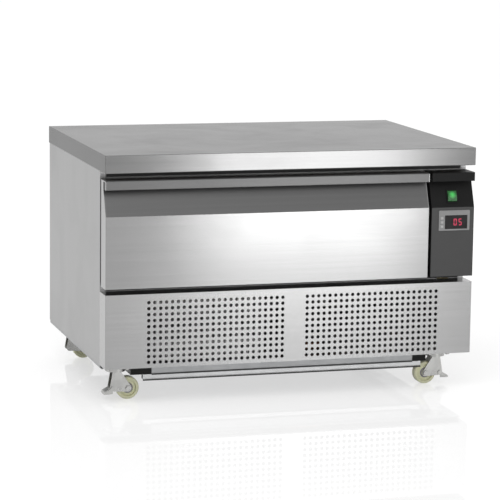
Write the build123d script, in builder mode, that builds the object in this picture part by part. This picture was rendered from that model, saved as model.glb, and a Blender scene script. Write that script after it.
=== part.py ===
from build123d import *
import math
import os

os.makedirs("parts", exist_ok=True)

# Refrigerated drawer counter, in millimetres.
# The origin is on the floor under the middle of the footprint.
# +X is to the right of someone facing the front, +Y is to the back, +Z is up.

# Overall size
width = 900.0
depth = 630.0
height = 582.0

# Clearances
sliding_gap = 0.3
running_gap = 0.1

# Worktop
top_thick = 42.0
top_sheet = 1.2
top_hem = 14.0
top_bend = 1.0
hem_bend = 2.0
top_corner = 1.5

# Cabinet
side_inset = 1.5
cabinet_setback = 58.0
back_inset = 3.0
cabinet_bottom = 87.5
sheet = 1.2
panel_return = 12.0
panel_bend = 1.0
machine_height = 173.0
floor_foam = 45.0
roof_foam = 42.0
side_foam = 45.0
back_foam = 42.0
liner_sheet = 1.0
pillar_width = 111.0

# Drawer front, whose lip and scoop the control panel repeats
front_thick = 45.0
drawer_gap_above = 17.0
drawer_front_height = 249.0
lip_height = 21.0
lip_wall = 4.0
lip_fillet = 1.5
scoop_depth = 23.0
scoop_height = 61.0
lip_roof = 2.5
front_sheet = 1.5
handle_seam = 0.05
inner_panel_thick = 2.0
gasket_width = 18.0
gasket_margin = 4.0
gasket_corner = 6.0
gasket_inner_corner = 3.0

# Control panel
panel_width = 107.5
panel_gap = 8.0
panel_wall = 3.0
panel_setback = 2.5
fascia_thick = 1.5
fascia_margin = 0.8

# Drawer tub and its runners
tub_width = 652.0
tub_length = 531.0
tub_height = 165.0
tub_floor_gap = 8.0
tub_sheet = 1.2
tub_rim = 8.0
tub_seam = 0.1
runner_height = 45.0
runner_depth = 12.7
runner_sheet = 1.5
runner_length = 515.0
runner_rise = 48.0

# Perforated cover of the machine compartment
hole_diameter = 8.0
hole_pitch = 14.0
hole_columns = 24
hole_rows = 11
field_gap = 60.0
field_shift = 6.0
first_row_drop = 20.0
cover_sheet = 1.2
cover_corner = 1.5

# Base
base_plate_thick = 2.0
base_upstand = 26.0
base_lip = 14.0
tray_width = 648.0
tray_drop = 20.5
rail_width = 690.0
rail_height = 11.5
rail_depth = 14.0
rail_sheet = 1.5
rail_corner = 2.0

# Castors
castor_height = 80.0
castor_inset_left = 44.0
castor_inset_right = 60.0
castor_inset_front = 80.0
castor_inset_back = 72.0
castor_trail = 28.0
wheel_diameter = 54.0
wheel_width = 20.0
axle_diameter = 8.0
plate_size = 62.0
plate_thick = 2.5
plate_corner = 5.0
plate_bolt_spacing = 46.0
bolt_diameter = 6.0
fork_sheet = 2.5
kingpin_diameter = 10.0

# Switch and thermostat
switch_width = 28.0
switch_height = 33.0
switch_inset = 54.0
rocker_width = 22.0
rocker_length = 27.0
thermostat_width = 78.0
thermostat_height = 48.0
thermostat_inset = 50.0
thermostat_drop = 32.0
thermostat_bar = 8.0
bezel_proud = 1.5
window_width = 57.0
window_height = 33.0
window_shift = 4.5
window_thick = 1.2
key_proud = 1.0
key_width = 7.0
key_height = 5.5
key_pitch = 10.0
key_travel = 0.8
key_count = 3

# Machine compartment
condenser_width = 270.0
condenser_height = 150.0
condenser_depth = 50.0
condenser_x = -185.0
condenser_setback = 18.0
fin_pitch = 9.0
condenser_fan_diameter = 138.0
compressor_diameter = 146.0
compressor_height = 136.0
compressor_x = 165.0
compressor_y = 60.0
mount_height = 12.0
pipe_diameter = 8.0
liquid_diameter = 6.0
bend_radius = 10.0
pipe_slot_length = 56.0
pipe_slot_width = 24.0
drain_diameter = 16.0
drain_wall = 1.5

# Evaporator compartment
coil_length = 270.0
coil_depth = 70.0
coil_height = 130.0
evaporator_fan_diameter = 112.0

# Levels and planes that follow from the sizes above
front_y = -depth / 2
back_y = depth / 2
cabinet_x = width / 2 - side_inset
cabinet_front = front_y + cabinet_setback
cabinet_back = back_y - back_inset
top_bottom = height - top_thick
machine_top = cabinet_bottom + machine_height
drawer_top = top_bottom - drawer_gap_above
drawer_bottom = drawer_top - drawer_front_height
lip_bottom = drawer_top - lip_height
scoop_bottom = lip_bottom - scoop_height
pocket_top = drawer_top - lip_roof
panel_right = width / 2
panel_left = panel_right - panel_width
drawer_left = -cabinet_x
drawer_right = panel_left - panel_gap

# Inner faces of the cold space
cold_left = -cabinet_x + sheet + side_foam + liner_sheet
cold_right = -cold_left
cold_floor = machine_top + floor_foam + liner_sheet
cold_roof = top_bottom - roof_foam - liner_sheet
cold_back = cabinet_back - sheet - back_foam - liner_sheet
mouth_right = cold_right - pillar_width
mouth_mid_x = (cold_left + mouth_right) / 2
pillar_back = cabinet_front + side_foam
cold_mid_z = (cold_floor + cold_roof) / 2


def block(x0, x1, y0, y1, z0, z1, mode=Mode.ADD):
    """Add or cut a box given by its limits in the part that is being built."""
    with Locations(((x0 + x1) / 2, (y0 + y1) / 2, (z0 + z1) / 2)):
        Box(x1 - x0, y1 - y0, z1 - z0, mode=mode)


def row_offset(i, count, pitch):
    """Give the offset of one of a row of evenly spaced things from the row's middle."""
    return (i - (count - 1) / 2) * pitch


def save(part, label):
    part.label = label
    export_step(part, f"parts/{label}.step")


# Worktop: a folded pan with a hem, over a board
with BuildPart() as worktop:
    block(-width / 2, width / 2, front_y, back_y, top_bottom, height)
    fillet(worktop.edges().filter_by(Axis.Z), top_corner)
    fillet(worktop.faces().sort_by(Axis.Z)[-1].edges(), top_bend)
    fillet(worktop.faces().sort_by(Axis.Z)[0].edges(), hem_bend)
    block(
        -width / 2 + top_sheet,
        width / 2 - top_sheet,
        front_y + top_sheet,
        back_y - top_sheet,
        top_bottom + top_sheet,
        height - top_sheet,
        Mode.SUBTRACT,
    )
    block(
        -width / 2 + top_hem,
        width / 2 - top_hem,
        front_y + top_hem,
        back_y - top_hem,
        top_bottom,
        top_bottom + top_sheet,
        Mode.SUBTRACT,
    )
save(worktop.part, "worktop")

with BuildPart() as worktop_board:
    block(
        -width / 2 + top_sheet,
        width / 2 - top_sheet,
        front_y + top_sheet,
        back_y - top_sheet,
        top_bottom + top_sheet,
        height - top_sheet,
    )
save(worktop_board.part, "worktop_board")

# Side panels: flat sheets whose front and back edges turn inwards
for side, name in ((-1, "side_panel_left"), (1, "side_panel_right")):
    outer = side * cabinet_x
    inner = side * (cabinet_x - sheet)
    returned = side * (cabinet_x - panel_return)
    with BuildPart() as side_panel:
        block(min(outer, inner), max(outer, inner), cabinet_front, cabinet_back, cabinet_bottom, top_bottom)
        block(
            min(outer, returned),
            max(outer, returned),
            cabinet_front,
            cabinet_front + sheet,
            cabinet_bottom,
            top_bottom,
        )
        corner = side_panel.edges().filter_by(Axis.Z).group_by(Axis.Y)[0]
        fillet(corner.sort_by(Axis.X)[0 if side < 0 else -1], panel_bend)
    save(side_panel.part, name)

# Back panel, with a louvred patch that lets the warm air out
louvre_count = 7
louvre_pitch = 14.0
louvre_length = 180.0
louvre_gap = 40.0
louvre_slot = 5.0
inlet_x = 300.0
inlet_rise = 60.0
inlet_z = cabinet_bottom + inlet_rise
inlet_width = 28.0
inlet_height = 20.0
with BuildPart() as back_panel:
    block(
        -cabinet_x + sheet,
        cabinet_x - sheet,
        cabinet_back - sheet,
        cabinet_back,
        cabinet_bottom,
        top_bottom,
    )
    louvre_z = cabinet_bottom + machine_height / 2
    with Locations((0, cabinet_back, louvre_z)):
        with GridLocations(louvre_length + louvre_gap, 0, 2, 1):
            rows = [(0, 0, row_offset(i, louvre_count, louvre_pitch)) for i in range(louvre_count)]
            with Locations(*rows):
                Box(louvre_length, 4 * sheet, louvre_slot, mode=Mode.SUBTRACT)
    with Locations((inlet_x, cabinet_back, inlet_z)):
        Box(inlet_width, 4 * sheet, inlet_height, mode=Mode.SUBTRACT)
save(back_panel.part, "back_panel")

# Front frame: the flat steel ring that the drawer seal closes on
notch_width = 30.0
notch_height = 20.0
with BuildPart() as front_frame:
    block(
        -cabinet_x + panel_return,
        cabinet_x - panel_return,
        cabinet_front,
        cabinet_front + sheet,
        machine_top,
        top_bottom,
    )
    block(
        cold_left,
        mouth_right,
        cabinet_front,
        cabinet_front + sheet,
        cold_floor,
        cold_roof,
        Mode.SUBTRACT,
    )
    # Wires go down behind the control panel through this notch.
    with Locations((panel_right - panel_width / 2, cabinet_front, machine_top)):
        Box(notch_width, 4 * sheet, 2 * notch_height, mode=Mode.SUBTRACT)
save(front_frame.part, "front_frame")

# Foam body: the insulation around the cold space, foamed between the panels and the liner
drain_inset = 40.0
drain_setback = 185.0
pipe_slot_inset = 49.0
pipe_slot_setback = 26.0
drain_x = cold_right - drain_inset
drain_y = cold_back - drain_setback
pipe_slot_x = cold_right - pipe_slot_inset
pipe_slot_y = cold_back - pipe_slot_setback
with BuildPart() as foam_body:
    block(
        -cabinet_x + sheet,
        cabinet_x - sheet,
        cabinet_front + sheet,
        cabinet_back - sheet,
        machine_top,
        top_bottom,
    )
    block(
        cold_left - liner_sheet,
        cold_right + liner_sheet,
        pillar_back,
        cold_back + liner_sheet,
        cold_floor - liner_sheet,
        cold_roof + liner_sheet,
        Mode.SUBTRACT,
    )
    block(
        cold_left - liner_sheet,
        mouth_right + liner_sheet,
        cabinet_front + sheet,
        pillar_back,
        cold_floor - liner_sheet,
        cold_roof + liner_sheet,
        Mode.SUBTRACT,
    )
    with Locations((drain_x, drain_y, machine_top + floor_foam / 2)):
        Cylinder(drain_diameter / 2, floor_foam * 2, mode=Mode.SUBTRACT)
    with Locations((pipe_slot_x, pipe_slot_y, machine_top + floor_foam / 2)):
        Box(pipe_slot_length, pipe_slot_width, floor_foam * 2, mode=Mode.SUBTRACT)
save(foam_body.part, "foam_body")

# Liner: the steel box of the cold space, open at the drawer's mouth
with BuildPart() as liner:
    block(
        cold_left - liner_sheet,
        cold_right + liner_sheet,
        pillar_back,
        cold_back + liner_sheet,
        cold_floor - liner_sheet,
        cold_roof + liner_sheet,
    )
    block(
        cold_left - liner_sheet,
        mouth_right + liner_sheet,
        cabinet_front + sheet,
        pillar_back,
        cold_floor - liner_sheet,
        cold_roof + liner_sheet,
    )
    block(
        cold_left,
        cold_right,
        pillar_back + liner_sheet,
        cold_back,
        cold_floor,
        cold_roof,
        Mode.SUBTRACT,
    )
    block(
        cold_left,
        mouth_right,
        cabinet_front,
        pillar_back + liner_sheet,
        cold_floor,
        cold_roof,
        Mode.SUBTRACT,
    )
    with Locations((drain_x, drain_y, cold_floor)):
        Cylinder(drain_diameter / 2, 4 * liner_sheet, mode=Mode.SUBTRACT)
    with Locations((pipe_slot_x, pipe_slot_y, cold_floor)):
        Box(pipe_slot_length, pipe_slot_width, 4 * liner_sheet, mode=Mode.SUBTRACT)
save(liner.part, "liner")


def front_points(face, thick):
    """Corners of the front's section: flat face, scoop, finger pocket and lip."""
    return (
        (face, drawer_bottom),
        (face, scoop_bottom),
        (face + scoop_depth, lip_bottom),
        (face + scoop_depth, pocket_top),
        (face + lip_wall, pocket_top),
        (face + lip_wall, lip_bottom),
        (face, lip_bottom),
        (face, drawer_top),
        (face + thick, drawer_top),
        (face + thick, drawer_bottom),
    )


def lip_edges(builder, face):
    """Give the two long edges at the front of the lip."""
    long_edges = builder.edges().filter_by(Axis.X)
    in_face = long_edges.filter_by(lambda e: abs(e.center().Y - face) < 0.01)
    return in_face.filter_by(lambda e: e.center().Z > lip_bottom - 0.01)


def hollow_points(face, back, wall):
    """Corners of the room inside the front's section, behind walls of one thickness."""
    return (
        (face + wall, drawer_bottom + wall),
        (face + wall, scoop_bottom),
        (face + scoop_depth + wall, lip_bottom),
        (face + scoop_depth + wall, drawer_top - wall),
        (back, drawer_top - wall),
        (back, drawer_bottom + wall),
    )


def front_solid(x0, x1, face, thick):
    """Make a solid length of the front's section."""
    with BuildPart() as solid:
        with BuildSketch(Plane.YZ.offset(x0)):
            with BuildLine():
                Polyline(*front_points(face, thick), close=True)
            make_face()
        extrude(amount=x1 - x0)
        fillet(lip_edges(solid, face), lip_fillet)
    return solid.part


def front_room(x0, x1, face, back, wall):
    """Make the room inside a length of the front's section, as a solid."""
    with BuildPart() as room:
        with BuildSketch(Plane.YZ.offset(x0)):
            with BuildLine():
                Polyline(*hollow_points(face, back, wall), close=True)
            make_face()
        extrude(amount=x1 - x0)
    return room.part


# Drawer front: a skin with its two cheeks, the handle between them, the foam and the panel
# that closes it from behind
cheek_left = drawer_left + front_sheet
cheek_right = drawer_right - front_sheet
front_back = front_y + front_thick
with BuildPart() as drawer_skin:
    add(front_solid(drawer_left, drawer_right, front_y, front_thick))
    add(front_room(cheek_left, cheek_right, front_y, front_back, front_sheet), mode=Mode.SUBTRACT)
    block(cheek_left, cheek_right, front_y, front_back, scoop_bottom, drawer_top, Mode.SUBTRACT)
save(drawer_skin.part, "drawer_skin")

with BuildPart() as drawer_handle:
    add(front_solid(cheek_left, cheek_right, front_y, front_thick))
    add(front_room(cheek_left, cheek_right, front_y, front_back, front_sheet), mode=Mode.SUBTRACT)
    block(cheek_left, cheek_right, front_y, front_back, drawer_bottom, scoop_bottom, Mode.SUBTRACT)
    # Two seams part the grip strip with the lip, the strip behind the fingers and the scoop plate.
    for z in (lip_bottom, pocket_top - handle_seam):
        block(
            cheek_left,
            cheek_right,
            front_y + scoop_depth,
            front_back - front_sheet,
            z,
            z + handle_seam,
            Mode.SUBTRACT,
        )
save(drawer_handle.part, "drawer_handle")

with BuildPart() as drawer_foam:
    add(front_room(cheek_left, cheek_right, front_y, front_back - inner_panel_thick, front_sheet))
save(drawer_foam.part, "drawer_foam")

with BuildPart() as drawer_inner_panel:
    block(
        cheek_left,
        cheek_right,
        front_back - inner_panel_thick,
        front_back,
        drawer_bottom + front_sheet,
        drawer_top - front_sheet,
    )
save(drawer_inner_panel.part, "drawer_inner_panel")

# Seal: a bellows ring between the drawer front and the frame
gasket_depth = cabinet_setback - front_thick - sliding_gap
gasket_in_left = cold_left - gasket_margin
gasket_in_right = mouth_right + gasket_margin
gasket_in_bottom = cold_floor - gasket_margin
gasket_in_top = cold_roof + gasket_margin
# Each fold: its inset, and where it starts and ends as shares of the depth
gasket_folds = ((0.0, 0.0, 0.3), (3.0, 0.3, 0.55), (1.0, 0.55, 1.0))
with BuildPart() as drawer_gasket:
    gasket_y = front_back
    gasket_mid = ((gasket_in_left + gasket_in_right) / 2, (gasket_in_bottom + gasket_in_top) / 2)
    gasket_in_size = (gasket_in_right - gasket_in_left, gasket_in_top - gasket_in_bottom)
    for inset, start, end in gasket_folds:
        ring_origin = (gasket_mid[0], gasket_y + gasket_depth * start, gasket_mid[1])
        ring_plane = Plane(ring_origin, x_dir=(1, 0, 0), z_dir=(0, 1, 0))
        with BuildSketch(ring_plane):
            RectangleRounded(
                gasket_in_size[0] + 2 * gasket_width - 2 * inset,
                gasket_in_size[1] + 2 * gasket_width - 2 * inset,
                gasket_corner,
            )
            RectangleRounded(
                gasket_in_size[0] + 2 * inset,
                gasket_in_size[1] + 2 * inset,
                gasket_inner_corner,
                mode=Mode.SUBTRACT,
            )
        extrude(amount=gasket_depth * (end - start))
save(drawer_gasket.part, "drawer_gasket")

# Tub: the box of steel sheets that carries the food pans
tub_front = front_back
tub_left = mouth_mid_x - tub_width / 2 - tub_sheet
tub_right = mouth_mid_x + tub_width / 2 + tub_sheet
tub_back = tub_front + tub_length + 2 * tub_sheet
tub_bottom = cold_floor + tub_floor_gap
tub_top = tub_bottom + tub_height
tub_room_left = tub_left + tub_sheet + tub_seam
tub_room_right = tub_right - tub_sheet - tub_seam
with BuildPart() as drawer_tub:
    # Two sides with their rims turned out
    for x0, x1 in ((tub_left, tub_left + tub_sheet), (tub_right - tub_sheet, tub_right)):
        block(x0, x1, tub_front, tub_back, tub_bottom, tub_top)
    for x0, x1 in ((tub_left - tub_rim, tub_left), (tub_right, tub_right + tub_rim)):
        block(x0, x1, tub_front, tub_back, tub_top - tub_sheet, tub_top)
    # Floor between the sides, and two ends that stand on it
    block(tub_room_left, tub_room_right, tub_front, tub_back, tub_bottom, tub_bottom + tub_sheet)
    for y in (tub_front, tub_back - tub_sheet):
        block(
            tub_room_left,
            tub_room_right,
            y,
            y + tub_sheet,
            tub_bottom + tub_sheet + tub_seam,
            tub_top,
        )
save(drawer_tub.part, "drawer_tub")

# Bar across the middle of the tub, which two pans hang on side by side
bar_width = 14.0
bar_height = 10.0
bar_corner = 2.0
with BuildPart() as pan_bar:
    block(
        mouth_mid_x - bar_width / 2,
        mouth_mid_x + bar_width / 2,
        tub_front + tub_sheet,
        tub_back - tub_sheet,
        tub_top - bar_height,
        tub_top,
    )
    fillet(pan_bar.edges().filter_by(Axis.Y), bar_corner)
save(pan_bar.part, "pan_bar")

# Telescopic runners: each has a member on the cabinet, one on the tub and one between
runner_z = cold_floor + runner_rise
runner_setback = 4.0
runner_tip_gap = 2.0
middle_tip_gap = 3.0
runner_front = cabinet_front + runner_setback
runner_back = runner_front + runner_length


def runner_member(wall, out, root, tip, reach, z_half):
    """Add a channel whose back stands at root and whose flanges end at tip."""
    near = wall + out * root
    plate = wall + out * (root + runner_sheet)
    far = wall + out * tip
    block(min(near, plate), max(near, plate), reach[0], reach[1], runner_z - z_half, runner_z + z_half)
    for low in (runner_z - z_half, runner_z + z_half - runner_sheet):
        block(min(near, far), max(near, far), reach[0], reach[1], low, low + runner_sheet)


runner_reach = (runner_front, runner_back)
runner_step = runner_sheet + sliding_gap
mid_half = runner_height / 2 - runner_step
tub_half = mid_half - runner_step
foot_length = 40.0
foot_half = 15.0
runner_sides = []
for side, cold_wall in ((-1, cold_left), (1, mouth_right)):
    tub_wall = mouth_mid_x + side * (tub_width / 2 + tub_sheet)
    runner_sides.append((side, cold_wall, tub_wall, tub_wall + side * runner_depth))

with BuildPart() as cabinet_runners:
    for side, cold_wall, tub_wall, rail_wall in runner_sides:
        runner_member(rail_wall, -side, 0.0, runner_depth - runner_tip_gap, runner_reach, runner_height / 2)
        # Two feet stand each rail off the wall of the cold space.
        for foot_y in (runner_front + foot_length / 2, runner_back - 1.5 * foot_length):
            block(
                min(rail_wall, cold_wall),
                max(rail_wall, cold_wall),
                foot_y,
                foot_y + foot_length,
                runner_z - foot_half,
                runner_z + foot_half,
            )
save(cabinet_runners.part, "cabinet_runners")

for (side, cold_wall, tub_wall, rail_wall), name in zip(runner_sides, ("left", "right")):
    with BuildPart() as middle_runner:
        runner_member(rail_wall, -side, runner_step, runner_depth - middle_tip_gap, runner_reach, mid_half)
    save(middle_runner.part, f"middle_runner_{name}")

with BuildPart() as tub_runners:
    for side, cold_wall, tub_wall, rail_wall in runner_sides:
        runner_member(tub_wall, side, 0.0, runner_depth - 2 * runner_step, runner_reach, tub_half)
save(tub_runners.part, "tub_runners")

# Control panel: a hollow black moulding with the section of the drawer front
panel_face = front_y + panel_setback
panel_thick = cabinet_front - panel_face
slope_length = math.hypot(scoop_depth, scoop_height)
slope_up = (0.0, scoop_depth / slope_length, scoop_height / slope_length)
slope_out = (0.0, -scoop_height / slope_length, scoop_depth / slope_length)
switch_rise = 25.0
switch_x = panel_right - switch_inset
switch_plane = Plane(
    (switch_x, panel_face + scoop_depth * switch_rise / scoop_height, scoop_bottom + switch_rise),
    x_dir=(1, 0, 0),
    z_dir=slope_out,
)
thermostat_x = panel_right - thermostat_inset
thermostat_z = scoop_bottom - thermostat_drop
case_gap = 0.4
bezel_side = 4.0
bezel_end = 5.0
bezel_corner = 2.0
case_width = thermostat_width - 2 * bezel_side
case_height = thermostat_height - 2 * bezel_end
case_depth = 44.0
switch_lip = 1.5
housing_width = switch_width - 2 * switch_lip
housing_height = switch_height - 2 * switch_lip
housing_depth = 22.0
with BuildPart() as control_cap:
    add(front_solid(panel_left, panel_right, panel_face, panel_thick))
    add(
        front_room(panel_left + panel_wall, panel_right - panel_wall, panel_face, cabinet_front, panel_wall),
        mode=Mode.SUBTRACT,
    )
    block(
        panel_left + fascia_margin,
        panel_right - fascia_margin,
        panel_face,
        panel_face + fascia_thick,
        drawer_bottom + fascia_margin,
        scoop_bottom - fascia_margin,
        Mode.SUBTRACT,
    )
    with Locations((thermostat_x, panel_face + panel_wall / 2, thermostat_z)):
        Box(case_width + 2 * case_gap, 2 * panel_wall, case_height + 2 * case_gap, mode=Mode.SUBTRACT)
    with Locations(switch_plane):
        Box(
            housing_width + 2 * case_gap,
            housing_height + 2 * case_gap,
            4 * panel_wall,
            mode=Mode.SUBTRACT,
        )
save(control_cap.part, "control_cap")

with BuildPart() as control_fascia:
    block(
        panel_left + fascia_margin,
        panel_right - fascia_margin,
        panel_face,
        panel_face + fascia_thick,
        drawer_bottom + fascia_margin,
        scoop_bottom - fascia_margin,
    )
    with Locations((thermostat_x, panel_face + fascia_thick / 2, thermostat_z)):
        Box(case_width + 2 * case_gap, 2 * fascia_thick, case_height + 2 * case_gap, mode=Mode.SUBTRACT)
save(control_fascia.part, "control_fascia")

# Rocker switch, whose rocker tips on a pin across its housing
bezel_thick = 2.0
pivot_depth = 3.0
rocker_radius = rocker_length / 2
rocker_apex = 3.2
rocker_shoulder = -0.6
rocker_base = 8.0
rocker_tilt = 7.0
rocker_cavity = 14.0
pin_diameter = 3.0
pin_end = 1.0
pin_end_gap = 0.3
with BuildPart(switch_plane) as switch_body:
    with Locations((0, 0, bezel_thick / 2)):
        Box(switch_width, switch_height, bezel_thick)
    with Locations((0, 0, -housing_depth / 2)):
        Box(housing_width, housing_height, housing_depth)
    with Locations((0, 0, (bezel_thick - rocker_cavity) / 2)):
        Box(
            rocker_width + 2 * sliding_gap,
            rocker_length + 2 * sliding_gap,
            rocker_cavity + bezel_thick,
            mode=Mode.SUBTRACT,
        )
    with Locations((0, 0, -pivot_depth)):
        Cylinder(
            pin_diameter / 2 + running_gap,
            rocker_width + 2 * (pin_end + pin_end_gap),
            rotation=(0, 90, 0),
            mode=Mode.SUBTRACT,
        )
save(switch_body.part, "switch_body")

rocker_side = Plane(switch_plane.origin, x_dir=slope_up, z_dir=(1, 0, 0)).offset(-rocker_width / 2)
with BuildPart() as switch_rocker:
    with BuildSketch(rocker_side):
        with Locations((0, -pivot_depth)):
            Circle(rocker_radius)
        with Locations(Location((0, -pivot_depth, 0), (0, 0, rocker_tilt))):
            with BuildLine():
                Polyline(
                    (-rocker_radius, -rocker_base + pivot_depth),
                    (-rocker_radius, rocker_shoulder + pivot_depth),
                    (0, rocker_apex + pivot_depth),
                    (rocker_radius, rocker_shoulder + pivot_depth),
                    (rocker_radius, -rocker_base + pivot_depth),
                    close=True,
                )
            make_face(mode=Mode.INTERSECT)
    extrude(amount=rocker_width)
    with Locations(switch_plane):
        with Locations((0, 0, -pivot_depth)):
            Cylinder(pin_diameter / 2, rocker_width + 2 * pin_end, rotation=(0, 90, 0))
save(switch_rocker.part, "switch_rocker")

# Thermostat: a case whose bezel stands proud of the fascia, with a window and a column of keys
bezel_face = panel_face - bezel_proud
key_inset = 7.5
key_pocket = 6.0
key_round = 0.4
key_x = thermostat_x - thermostat_width / 2 + key_inset
window_x = thermostat_x + window_shift
window_z = thermostat_z - thermostat_bar / 2
with BuildPart() as thermostat_case:
    block(
        thermostat_x - thermostat_width / 2,
        thermostat_x + thermostat_width / 2,
        bezel_face,
        panel_face,
        thermostat_z - thermostat_height / 2,
        thermostat_z + thermostat_height / 2,
    )
    fillet(thermostat_case.edges().filter_by(Axis.Y), bezel_corner)
    block(
        thermostat_x - case_width / 2,
        thermostat_x + case_width / 2,
        panel_face,
        panel_face + case_depth,
        thermostat_z - case_height / 2,
        thermostat_z + case_height / 2,
    )
    with Locations((window_x, bezel_face + window_thick / 2, window_z)):
        Box(window_width, window_thick, window_height, mode=Mode.SUBTRACT)
    with Locations((key_x, bezel_face + key_pocket / 2, window_z)):
        with Locations(*[(0, 0, row_offset(i, key_count, key_pitch)) for i in range(key_count)]):
            Box(
                key_width + 2 * sliding_gap,
                key_pocket,
                key_height + 2 * sliding_gap,
                mode=Mode.SUBTRACT,
            )
save(thermostat_case.part, "thermostat_case")

with BuildPart() as thermostat_window:
    with Locations((window_x, bezel_face + window_thick / 2, window_z)):
        Box(window_width, window_thick, window_height)
save(thermostat_window.part, "thermostat_window")

for i in range(key_count):
    z = window_z - row_offset(i, key_count, key_pitch)
    with BuildPart() as key:
        block(
            key_x - key_width / 2,
            key_x + key_width / 2,
            bezel_face - key_proud,
            bezel_face + key_pocket - key_travel - sliding_gap,
            z - key_height / 2,
            z + key_height / 2,
        )
        fillet(key.faces().sort_by(Axis.Y)[0].edges(), key_round)
    save(key.part, f"thermostat_key_{i + 1}")

# Machine cover: a perforated tray in front of the machine compartment
field_length = (hole_columns - 1) * hole_pitch
field_offset = field_gap / 2 + field_length / 2
field_z = machine_top - first_row_drop - (hole_rows - 1) * hole_pitch / 2
cover_flange = 14.0
with BuildPart() as machine_cover:
    block(-cabinet_x, cabinet_x, front_y, cabinet_front, cabinet_bottom, machine_top)
    fillet(machine_cover.edges().filter_by(Axis.Z).group_by(Axis.Y)[0], cover_corner)
    block(
        -cabinet_x + cover_sheet,
        cabinet_x - cover_sheet,
        front_y + cover_sheet,
        cabinet_front,
        cabinet_bottom + cover_sheet,
        machine_top - cover_sheet,
        Mode.SUBTRACT,
    )
    block(
        -cabinet_x + cover_flange,
        cabinet_x - cover_flange,
        front_y + cover_flange,
        cabinet_front,
        cabinet_bottom,
        cabinet_bottom + cover_sheet,
        Mode.SUBTRACT,
    )
    face_plane = Plane((field_shift, front_y, field_z), x_dir=(1, 0, 0), z_dir=(0, -1, 0))
    with BuildSketch(face_plane):
        with Locations((-field_offset, 0), (field_offset, 0)):
            with GridLocations(hole_pitch, hole_pitch, hole_columns, hole_rows):
                Circle(hole_diameter / 2)
    extrude(amount=-2 * cover_sheet, mode=Mode.SUBTRACT)
save(machine_cover.part, "machine_cover")

# Castor places: axis of the swivel, which way the wheel trails, and the brake
castor_left_x = -width / 2 + castor_inset_left
castor_right_x = width / 2 - castor_inset_right
castor_front_y = front_y + castor_inset_front
castor_back_y = back_y - castor_inset_back
castors = (
    ("front_left", castor_left_x, castor_front_y, 1, True),
    ("front_right", castor_right_x, castor_front_y, -1, True),
    ("back_left", castor_left_x, castor_back_y, 1, False),
    ("back_right", castor_right_x, castor_back_y, -1, False),
)
castor_points = [(x, y) for _, x, y, _, _ in castors]
half_spacing = plate_bolt_spacing / 2
bolt_points = [
    (x + i * half_spacing, y + j * half_spacing) for x, y in castor_points for i in (-1, 1) for j in (-1, 1)
]
bolt_hole = bolt_diameter + 0.6
base_top = castor_height + base_plate_thick

# Base plate: the floor of the machine compartment, turned up at both sides
drain_hole = drain_diameter + 1.0
drain_low_inset = 40.0
drain_low_x = tray_width / 2 - drain_low_inset
with BuildPart() as base_plate:
    block(
        -cabinet_x + sheet,
        cabinet_x - sheet,
        cabinet_front + sheet,
        cabinet_back - sheet,
        castor_height,
        castor_height + base_upstand,
    )
    block(
        -cabinet_x + sheet + base_plate_thick,
        cabinet_x - sheet - base_plate_thick,
        cabinet_front,
        cabinet_back,
        base_top,
        castor_height + base_upstand,
        Mode.SUBTRACT,
    )
    # The floor runs on under the cover to carry the front castors.
    block(
        -cabinet_x + sheet,
        cabinet_x - sheet,
        cabinet_front - base_lip,
        cabinet_front + sheet,
        castor_height,
        base_top,
    )
    with Locations(*[(x, y, castor_height) for x, y in bolt_points]):
        Cylinder(bolt_hole / 2, 4 * base_plate_thick, mode=Mode.SUBTRACT)
    with Locations((drain_low_x, drain_y, castor_height)):
        Cylinder(drain_hole / 2, 4 * base_plate_thick, mode=Mode.SUBTRACT)
save(base_plate.part, "base_plate")

# Drip tray under the base plate, and the rail along its front
tray_length = 540.0
tray_front = cabinet_front + sheet
tray_sheet = 1.2
with BuildPart() as drip_tray:
    block(
        -tray_width / 2,
        tray_width / 2,
        tray_front,
        tray_front + tray_length,
        castor_height - tray_drop,
        castor_height,
    )
    block(
        -tray_width / 2 + tray_sheet,
        tray_width / 2 - tray_sheet,
        tray_front + tray_sheet,
        tray_front + tray_length - tray_sheet,
        castor_height - tray_drop + tray_sheet,
        castor_height,
        Mode.SUBTRACT,
    )
save(drip_tray.part, "drip_tray")

# Two chassis beams run front to back between the tray and the castor plates.
beam_wall = 2.0
beam_gap = 1.0
beam_limits = (
    (castor_left_x + plate_size / 2 + beam_gap, -tray_width / 2),
    (tray_width / 2, castor_right_x - plate_size / 2 - beam_gap),
)
with BuildPart() as chassis_beams:
    for x0, x1 in beam_limits:
        block(x0, x1, tray_front, tray_front + tray_length, castor_height - tray_drop, castor_height)
        block(
            x0 + beam_wall,
            x1 - beam_wall,
            tray_front,
            tray_front + tray_length,
            castor_height - tray_drop + beam_wall,
            castor_height - beam_wall,
            Mode.SUBTRACT,
        )
save(chassis_beams.part, "chassis_beams")

with BuildPart() as front_rail:
    block(
        -rail_width / 2,
        rail_width / 2,
        tray_front - sheet,
        tray_front - sheet + rail_depth,
        castor_height - tray_drop - rail_height,
        castor_height - tray_drop,
    )
    fillet(front_rail.edges().filter_by(Axis.X).group_by(Axis.Z)[0], rail_corner)
    block(
        -rail_width / 2,
        rail_width / 2,
        tray_front - sheet + rail_sheet,
        tray_front - sheet + rail_depth - rail_sheet,
        castor_height - tray_drop - rail_height + rail_sheet,
        castor_height - tray_drop - rail_sheet,
        Mode.SUBTRACT,
    )
save(front_rail.part, "front_rail")

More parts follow.
